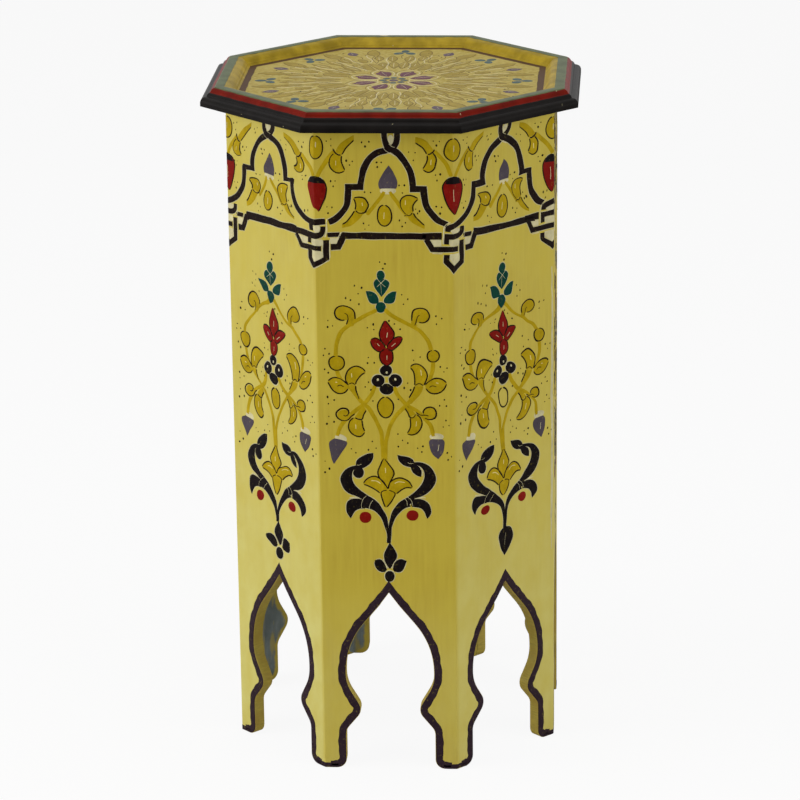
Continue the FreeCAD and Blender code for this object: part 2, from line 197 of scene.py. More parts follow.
def smooth_run(points, step):
    """Even rows on a curve through the points: p = half of 2b + (c - a)t
    + (2a - 5b + 4c - d)t2 + (3b - a - 3c + d)t3, for each run from b to c."""
    longer = np.vstack([2 * points[:1] - points[1:2], points, 2 * points[-1:] - points[-2:-1]])
    a, b, c, d = (longer[i:len(points) - 1 + i, None] for i in range(4))
    t = np.linspace(0, 1, 9)[None, :-1, None]
    curve = 0.5 * (
        2 * b + (c - a) * t + (2 * a - 5 * b + 4 * c - d) * t**2 + (3 * b - a - 3 * c + d) * t**3
    )
    curve = np.vstack([curve.reshape(-1, points.shape[1]), points[-1]])
    run = way_along(curve)
    count = max(2, math.ceil(run[-1] / step) + 1)
    return at_stations(curve, run, np.linspace(0, run[-1], count))


def flow(points, step):
    """Line the brush follows: smooth through the points, sharp at one given twice."""
    points = np.array(points, float)
    twice = np.flatnonzero((points[1:] == points[:-1]).all(axis=1)) + 1
    runs = [smooth_run(piece, step) for piece in np.split(points, twice)]
    return np.vstack([run[:-1] for run in runs[:-1]] + [runs[-1]])


def spread(line, count):
    """The line again with count rows, closer together towards both its ends."""
    run = way_along(line)
    share = 0.5 - 0.5 * np.cos(np.linspace(0, math.pi, count))
    share = 0.5 * share + 0.5 * np.linspace(0, 1, count)
    return at_stations(line, run, share * run[-1])


def borders(line, width, round_share):
    """Both borders of a stroke: its line plus and minus half its width along the
    normal, lengthened at a turn; the width shrinks as a circle at both ends."""
    ahead = units(np.diff(line[:, :2], axis=0))
    mean, straight = at_turns(np.vstack([ahead[:1], ahead]), np.vstack([ahead, ahead[-1:]]))
    normal = np.column_stack([-mean[:, 1], mean[:, 0]])
    stretch = 1 / np.maximum(straight, 0.6)
    half = np.broadcast_to(width, len(line)) / 2
    run = way_along(line)
    near = np.minimum(run, run[-1] - run) / np.maximum(half * round_share, 1e-6)
    half = half * stretch * np.sqrt(1 - np.clip(1 - near, 0, 1) ** 2)
    return line[:, :2] + normal * half[:, None], line[:, :2] - normal * half[:, None]


# Rows across a stroke: place from border to border, and height as a share of the crown.
WIDE_ROWS = np.array([0, 0.045, 0.25, 0.75, 0.955, 1]), np.array([0, 0.8, 1, 1, 0.8, 0])
FINE_ROWS = np.array([0, 0.5, 1]), np.array([0, 1, 0])
# A stroke narrower than this, in mm, has the fine rows.
FINE_BRUSH = 1.7


def strip(left, right, crown, fine=False):
    """Low cushion of paint between two borders: a point is left + (right - left)t,
    its height the crown times the share across, and the ends are closed down."""
    across, share = FINE_ROWS if fine else WIDE_ROWS
    places = left[:, None] + (right - left)[:, None] * across[None, :, None]
    sink = sizes().sink
    height = np.tile((crown + sink) * share - sink, (len(left), 1))
    height[[0, -1]] = -sink
    points = np.dstack([places, height]).reshape(-1, 3)
    rows, columns = len(left), len(across)
    index = np.arange(rows * columns).reshape(rows, columns)
    faces = np.stack([index[:-1, :-1], index[1:, :-1], index[1:, 1:], index[:-1, 1:]], -1)
    rim = np.vstack([left, right[::-1]])
    area = np.sum(rim[:, 0] * np.roll(rim[:, 1], -1) - rim[:, 1] * np.roll(rim[:, 0], -1))
    faces = faces.reshape(-1, 4)
    return points, faces if area > 0 else faces[:, ::-1]


def ring_halves(place, rows):
    """Borders of an oval: centre + (rx cos a, rz sin a), a from the top down both sides."""
    x, z, rx, rz, tilt = (*place, 0)[:5]
    angle = math.pi / 2 + np.linspace(0, math.pi, rows)
    oval = [np.column_stack([side * rx * np.cos(angle), rz * np.sin(angle)]) for side in (1, -1)]
    c, s = math.cos(math.radians(tilt)), math.sin(math.radians(tilt))
    return [half @ np.array([[c, s], [-s, c]]) + (x, z) for half in oval]


# How proud each paint lies, so that a later one covers an earlier one, in mm.
PROUD = {
    "gold": 0.12, "band": 0.14, "strap": 0.15, "cell": 0.1, "purple": 0.16, "teal": 0.16,
    "red": 0.17, "black": 0.2, "olive": 0.1, "outline": 0.26, "light": 0.24, "cream": 0.3,
    "dot": 0.16, "halo": 0.05, "petal": 0.14, "teal_grey": 0.16, "purple_grey": 0.15,
    "vine": 0.13, "pale": 0.24,
}
# Strokes of one paint take turns at this many heights, this far apart in mm.
CROWNS, CROWN_STEP = 8, 0.003
# Pale line left round a stroke of these paints, in mm on each side.
HALO = {"black": 0.7, "strap": 0.5, "teal": 0.5}


class Painting:
    """Strokes of each paint, gathered before they are laid on the table."""

    def __init__(self, liner="outline"):
        self.paints = {}
        self.liner = liner

    def add(self, paint, left, right, fine=False):
        """One more strip; two of a paint that cross seldom have the same crown."""
        strips = self.paints.setdefault(paint, [])
        crown = PROUD[paint] + CROWN_STEP * (len(strips) % CROWNS)
        strips.append(strip(left, right, crown, fine))

    def stroke(self, paint, width, points, blunt=False):
        """One stroke along the points, with round ends or cut off blunt; without a
        width each point has its own."""
        line = flow(points, sizes().step)
        if blunt:
            near = [line[i] + (line[j] - line[i]) * 0.2 / np.linalg.norm((line[j] - line[i])[:2])
                    for i, j in ((0, 1), (-1, -2))]
            line = np.vstack([line[:1], near[:1], line[1:-1], near[1:], line[-1:]])
        if width is None:
            width = line[:, 2]
        if paint in ("strap", "gold"):
            width = width * (sizes().strap_share if blunt else sizes().stem_share)
        rounding = 0.02 if blunt else 1
        self.add(paint, *borders(line, width, rounding), fine=np.max(width) < FINE_BRUSH)
        if paint in HALO:
            self.add("halo", *borders(line, width + 2 * HALO[paint], rounding))

    def strokes(self, rows):
        """The strokes of a table; the straps are blunt."""
        for paint, width, points in rows:
            self.stroke(paint, width, points, blunt=paint == "strap")

    def line(self, points):
        """One line of the fine brush."""
        self.stroke(self.liner, sizes().line_width, points)

    def leaf(self, paint, left, right, lined=""):
        """A leaf between two borders; lined says which of them, l or r, has a line."""
        runs = [flow(side, sizes().step) for side in (left, right)]
        count = max(len(run) for run in runs) + 2
        self.add(paint, *(spread(run, count) for run in runs))
        for letter, side in zip("lr", (left, right)):
            if letter in lined:
                self.line(side)
            if paint in HALO:
                self.stroke("halo", 2 * HALO[paint], side)

    def leaves(self, rows):
        """The leaves of a table."""
        for paint, lined, left, right in rows:
            self.leaf(paint, left, right, lined)

    def disc(self, paint, place, lined=False):
        """An oval, filled where it has a paint and outlined where lined."""
        if paint:
            self.add(paint, *ring_halves(place, 11))
        if paint in HALO:
            grown = [size + HALO[paint] for size in place[2:4]]
            self.add("halo", *ring_halves((*place[:2], *grown, *place[4:]), 11))
        if lined:
            halves = ring_halves(place, 13)
            self.line(np.vstack([halves[0], halves[1][-2::-1]]))

    def dots(self, places):
        """A dot on each place, none as large or as round as the next."""
        random = np.random.default_rng(sizes().seed)
        for x, z in places:
            radius = sizes().dot_width / 2 * random.uniform(0.7, 1.25)
            radii = radius * random.uniform(0.85, 1.15, 2)
            self.add("dot", *ring_halves((x, z, *radii), 5), fine=True)

    def changed(self, change, turn_over=False):
        """The same strokes with their points changed and, if so asked, each face's
        corners the other way round."""
        other, way = Painting(), -1 if turn_over else 1
        other.paints = {
            paint: [(change(points), faces[:, ::way]) for points, faces in strips]
            for paint, strips in self.paints.items()
        }
        return other

    def shifted(self, across):
        """The same strokes moved along the strip."""
        return self.changed(lambda points: points + (across, 0, 0))

    def turned(self, angle):
        """The same strokes turned round the middle of the deck."""
        return self.changed(lambda points: points @ about_axis(angle))

    def mirrored(self):
        """The same strokes with left and right changed over."""
        return self.changed(lambda points: points * (-1, 1, 1), turn_over=True)

    def take(self, other):
        """Add the strokes of another painting."""
        for paint, strips in other.paints.items():
            self.paints.setdefault(paint, []).extend(strips)


def joined(strips):
    """All the strips as one set of points and one of faces."""
    counts = np.cumsum([0] + [len(points) for points, _ in strips])
    points = np.vstack([points for points, _ in strips])
    faces = np.vstack([faces + start for (_, faces), start in zip(strips, counts)])
    return points, faces


# ------------------------------------------------------------ the eight boards


def corner_slack():
    """Length of flat that a corner's round takes up on each side: r tan 22.5."""
    return sizes().corner_round * math.tan(HALF_TURN)


def wrap(points):
    """Place on the outside of the boards of (s, z, lift): s runs round from the
    middle of board 1. The flat part keeps its place, and the last bit on each
    side turns on the corner's round: x = flat + (r + lift) sin a, and outward
    apothem - r + (r + lift) cos a."""
    s, z, lift = np.asarray(points, float).T
    side = np.round(s / WIDTH)
    across = s - side * WIDTH
    slack, radius = corner_slack(), sizes().corner_round
    flat = np.clip(across, slack - HALF, HALF - slack)
    angle = (across - flat) / slack * HALF_TURN
    x = flat + (radius + lift) * np.sin(angle)
    out = APOTHEM - radius + (radius + lift) * np.cos(angle)
    turn = side * TURN
    return np.column_stack([
        x * np.cos(turn) + out * np.sin(turn), x * np.sin(turn) - out * np.cos(turn), z,
    ])


# How far the painters of two boards strayed from the pattern of board 1: the place
# on the pattern, the move there on board 8, the left one in sight, and the move on
# board 2, the right one; None where that board has no landmark.
STRAY = [
    (5.3, 517.9, -7.6, 1.1, -7.1, 1.1), (1.4, 527, -7.6, 0, -5, 0), (10.7, 527, -5.9, 0, -4.7, 0),
    (-17, 495, -5, 0, -6.1, 0), (22.4, 495, -3.3, 0, -3.9, 0), (-11.1, 511.4, -4.6, -0.7, -5, -0.7),
    (18.1, 507.9, -4.3, 5, -5, 3.6), (-22.9, 488.1, -3.4, 0.9, -4.6, -1.7),
    (-27.3, 488.1, -3.6, 0.9, -4.6, -1.7), (-18, 487.9, -3.7, 1, -4.9, -1.4),
    (-28.3, 475, -3.6, 0, -4.3, 0), (-33.4, 467.6, 0, 4.3, 0, 4.6), (27, 486.7, -4, 1.6, -4.3, 1),
    (22.4, 486.7, -3.3, 1.6, -3.9, 1), (31.7, 486.7, -4.6, 1.6, -4.6, 1), (31.7, 475, -4, 0, -5, 0),
    (33.4, 472.9, 0, -6.4, 0, -5.7), (4.3, 505.7, -4.3, -0.3, -4.3, -3.9),
    (3.6, 492.1, -4.7, 0, -3.6, -2.1), (3.6, 485.3, -5.3, 1.1, -4, -1.4),
    (0.6, 465.4, -3.9, 0.6, -2.6, -1.4), (-17.1, 473.6, 0.6, 2.9, -2.9, 0),
    (19.6, 474.3, -2.9, 2.1, -5.7, 2.1), (-34, 456.4, 2.9, 1.9, 0, 2.1),
    (31.7, 456.4, -2.9, 2.1, -5, -0.7), (-36.1, 507.9, -5, -5.7, -0.4, 0),
    (-22.9, 527.1, 1, -2.9, 1, -1.4), (36.7, 508.6, 0.7, -6.4, -5.7, -1.4),
    (25.3, 525.7, -7.1, -2.1, -8.6, 0.4), (-25.4, 449.1, 0, 0.4, 0, -1.4),
    (3.1, 448.9, 0, 1.1, 0, -1.2), (34.6, 448.7, 0, 0.3, 0, -1),
    (-3.4, 391.3, 1.6, -4.1, 0.9, -5.6), (-3, 417.6, 0.1, -4.7, 0.6, -3.3),
    (-3, 411, 0, -5, 0.4, -3.9), (-14.6, 404.7, -3, -4.7, -0.6, -4.3),
    (9.1, 404.3, 1.6, -3.6, 0.4, -3.9), (-31.6, 386.1, 8, -6.1, 2.6, -9),
    (27.9, 385, -2.6, -6.9, -2.6, -8.6), (-36.1, 367.9, 4.7, -6.4, 3.9, -3.6),
    (30.3, 370.7, -4.3, -3.6, -4.3, -5), (-7.6, 388.6, 2.9, -6.1, 2.9, -7.9),
    (-38.7, 345.3, 2.6, 1.1, 2, 2.6), (37.4, 351.7, -1.1, 0.7, 0.1, -0.7),
    (0.3, 359.3, -0.7, -5, -1.7, -2.6), (0.3, 380, -0.7, -1.4, -2.6, -1.9),
    (-11.9, 364.3, -1, -2.1, -4.3, -1.4), (14.6, 366.4, 1.4, -6.4, -1.4, -3.6),
    (1.4, 344, -1.4, -4.3, -2.6, -1.9), (0.6, 331.1, -2, -4.3, -1.7, -1.6),
    (-6.1, 331, -1.9, -3.6, -1.4, -2.1), (7.4, 331.4, -1.7, -3.9, -0.7, -1.4),
    (0.4, 324, -1.9, -4, -1.6, -1.1), (-23.6, 335.7, 2.1, -4.3, 2.4, -2.9),
    (26, 337.1, -1.4, -1.4, 0.7, -5), (-15.7, 337.6, 2.7, -1.9, 3.1, -1.9),
    (19.6, 342.1, -4, 0.3, -1.7, -5), (-26.4, 327.6, 1.7, -4, 1.7, -1.1),
    (26.3, 330, -0.3, -3.9, 1.1, -3.6), (-46.1, 327.9, 2.6, -2.6, 0.3, 2.1),
    (48.1, 329, -1.7, 4.3, 0.4, -2.6), (-38.3, 326.9, 2.9, -4, 0.7, -1.1),
    (38.9, 327.1, -1.4, -0.7, 0, -4.3), (-17.1, 311.4, 1.7, -1.1, 0, -0.7),
    (15.6, 311.9, 0.4, -1.6, -0.3, -1.9), (-0.6, 308.9, 1.6, -5.3, -1, -2.4),
    (-23.7, 292.1, 3.3, 0.7, 1.4, 2.9), (-16.1, 287.1, 2.4, -2.4, 0.4, 0.7),
    (23.1, 294.3, -0.7, 0, -1.4, -2.9), (16, 288.1, -0.4, -0.3, -3.6, -2.4),
    (-33.7, 302.1, 2.1, 1.1, -0.6, 1.7), (33.9, 304.3, -1.9, 0.7, -1.9, -1.4),
    (-38, 282.1, 3.7, -2.9, -0.3, -3.6), (-42.1, 261.4, 5, 1.7, 0.3, 0.7),
    (39.6, 283.6, -2.6, 0, -2.4, -2.1), (40.6, 266.4, -4.3, 0.7, -0.6, -2.9),
    (-2.1, 267.4, 2, -2.9, 0.6, -3.9), (0.3, 241.9, -0.7, -1.1, -1.9, -2.9),
    (-19.3, 244.6, 0.6, -3.9, -0.4, -3.1), (20, 242.1, 0, 0, -2.3, -1),
    (-11.1, 251.4, 1.4, -3.9, -1.4, -2.1), (10.3, 250.3, 1.4, -1.7, -2.1, -0.7),
    (-1.1, 225.4, 0.3, -4, -1, -1.9), (-10.9, 271.1, -0.3, -0.4, -1, -2.3),
    (7.9, 269.3, -1.1, -1, -1.9, -1.1), (-37.6, 247.1, 0.7, 0, -2.6, -0.7),
    (38.6, 249.6, -1.7, -1.7, -0.7, -0.3), (-22.7, 254.1, -0.6, -2.7, -2, -1.7),
    (26, 251.1, -1.4, -0.4, -0.7, -0.7), (-19, 230.7, -1.4, -2.1, -0.4, -4.3),
    (16.7, 230.7, -0.7, -2.1, 0, -2.1), (-29.4, 215.7, -3.1, -2.1, -3.1, -1.4),
    (31.4, 216, -1.1, -5.3, -2.1, -2.1), (-33.3, 222.1, -2.6, 0, -2.9, -0.7),
    (35, 222.1, 1, -5.7, 0.7, -2.9), (-17.9, 216.9, -4.3, -1.1, -3.7, -0.9),
    (19.7, 218.9, -1.6, -2.7, -1.3, -1), (0.6, 210, -0.7, -0.7, -0.6, 2.9),
    (0.9, 197.9, -1, 2.9, -1.1, 0.3), (-11.1, 180.3, -5, 3.6, None, None),
    (14.6, 179.7, 0, 3.9, None, None), (0.9, 166.9, -0.1, 5.3, None, None),
    (1.4, 185, -0.9, 5, None, None), (-8.6, 393.6, -0.7, -3.3, -0.4, -3.9),
    (3, 393.8, 1.8, -3.6, 0.5, -4.2), (-32.6, 392.2, 8.2, -4.8, 3.3, -10.1),
    (-23.6, 381.5, 6.8, -3, 0.7, -6.5), (-34.7, 380.7, 8.2, -6.3, 2.9, -7.9),
    (-39.7, 386.4, 8.7, -5.9, 4.4, -8.9), (20.7, 385, -2.7, -8.5, -2.3, -9.5),
    (27.4, 390.7, -2.4, -5.8, -2.4, -8.9), (34.9, 385, -2.2, -6.5, -2.6, -8.5),
    (29.6, 379, -1.6, -6, -2.6, -7.3), (-0.6, 317.4, 1, -5.4, -1.7, -2.9),
    (-0.6, 300.4, 2, -5, -0.5, -1.9), (-6.7, 308.9, 2.3, -5.3, 0, -2.5),
    (5.5, 308.9, 0.6, -5.3, -2.1, -2.5), (0.6, 473.9, -3.3, 0.6, -2.1, -0.4),
    (0.6, 457, -4.3, 1.5, -2.8, -2.1), (-5, 465.4, -3.3, 1.1, -2.7, -1.9),
    (6.1, 465.4, -4.1, 1.1, -2.4, -1.4), (-45, 345.3, 3.2, 1.1, 3, 2.6),
    (-32.4, 345.3, 2.1, 1.1, 0.8, 2.6), (32.7, 351.7, -1.3, 0.7, -0.7, -0.7),
    (42.1, 351.7, -0.8, 0.7, 1.2, -0.7), (8, 355.5, -1, -6, -2, -3.2),
    (-6.6, 355.5, 0.1, -5, -0.6, -2), (-4.8, 371, 0, -3, -1.6, -2), (7, 371, -1.2, -3, -4, -2),
    (-4.2, 490.6, -3.6, 1.4, -1.4, -2.1), (11.2, 491, -5.5, 0.5, -5.9, -2.5),
    (-6, 170.3, -0.5, 5.7, None, None), (-9.2, 172.4, -1.3, 5.6, None, None),
    (-7.4, 181.6, -2.1, 4.9, None, None), (8, 170, 3, 4.6, None, None),
    (-3.8, 186, -1.2, 4, None, None), (7, 185.4, -0.8, 4.6, None, None),
    (-22.8, 216.8, -3.8, -1.1, -3.5, -0.8), (-13, 216.8, -4.2, -1.1, -3.6, -0.8),
    (-3.4, 386.7, 1.5, -3.9, 0.8, -5.2), (-7.6, 391.3, 1.5, -4.2, 0.6, -5.6),
    (-7.3, 255, -0.7, -4.4, -0.6, -3.5), (5, 255, 0.6, -4.4, -0.6, -3.5),
    (20, 449, 0, 0.7, 0, -0.8), (-10, 449, 0, 1, None, None), (-12, 449, None, None, 0, -0.9),
    (-11.4, 331, -1.8, -3.6, -1.2, -2), (-18.8, 291.6, 1.5, 0.6, 0.6, 1.4),
    (-19.3, 295.6, 2, 1, 0.8, 1.6), (-7.6, 402.9, -1.5, -3.5, None, None),
    (-12, 394.8, 0.2, -3.5, None, None), (28, 294.6, None, None, 0.2, -0.4),
    (18.9, 295.6, None, None, 0, -1.2),
]

# Where the moves of a board start in a row of the table.
MOVES_OF = {8: 2, 2: 4}
# Ease of the bent sheet at its landmarks, so that one wrong reading bends it little.
HAND_EASE = 4
# Boards out of the photograph's sight follow one of the three in it, mirrored or not.
FOLLOWS = {3: (1, -1), 4: (8, -1), 5: (2, 1), 6: (1, 1), 7: (1, -1)}


def bend(apart):
    """Height of a bent thin sheet over a squared distance: r2 ln r2."""
    return apart * np.log(apart + 1e-6)


def source_of(side):
    """Which board in sight one follows, and -1 where it is mirrored."""
    return FOLLOWS.get(side, (side, 1))


def hand_of(side):
    """The painter's moves on one board as landmarks and weights of a thin sheet bent
    through them: the sum of w r2 ln r2 and a plane. The board's corners keep still."""
    source, sign = source_of(side)
    first = MOVES_OF[source]
    marks = [(sign * row[0], row[1], sign * row[first], row[first + 1])
             for row in STRAY if row[first] is not None]
    marks += [(u, z, 0, 0) for z in np.arange(160, 540, 28) for u in (-HALF, HALF)]
    marks = np.array(marks + [(u, 140, 0, 0) for u in (-30, 0, 30)])
    places = marks[:, :2]
    count = len(marks)
    flat = np.column_stack([np.ones(count), places])
    sheet = bend(((places[:, None] - places[None]) ** 2).sum(axis=2)) + HAND_EASE * np.eye(count)
    system = np.block([[sheet, flat], [flat.T, np.zeros((3, 3))]])
    return places, np.linalg.solve(system, np.vstack([marks[:, 2:], np.zeros((3, 2))]))


def strayed(points):
    """The points moved by the hand of the board they lie on; board 1 is the pattern."""
    moved = np.array(points, float)
    boards = np.clip(np.round(moved[:, 0] / WIDTH).astype(int), 0, SIDES - 1)
    for side in range(1, SIDES + 1):
        if source_of(side)[0] not in MOVES_OF:
            continue
        here = boards == side - 1
        places, weights = hand_of(side)
        near = moved[here, :2] - (WIDTH * (side - 1), 0)
        pull = bend(((near[:, None] - places[None]) ** 2).sum(axis=2))
        moved[here, :2] += np.column_stack([pull, np.ones(len(near)), near]) @ weights
    return moved


def wobbled(points):
    """The points moved by a slow wave, the mean of seven sines round the table."""
    moved = np.array(points, float)
    random = np.random.default_rng(sizes().seed)
    turns = random.integers(10, 60, 7)
    heights = random.uniform(-0.5, 0.5, 7)
    phases = random.uniform(0, 2 * math.pi, (2, 7))
    angle = moved[:, :1] * turns * TURN / WIDTH + moved[:, 1:2] * heights
    for axis in (0, 1):
        moved[:, axis] += sizes().wobble * 1.9 * np.sin(angle + phases[axis]).mean(axis=1)
    return moved


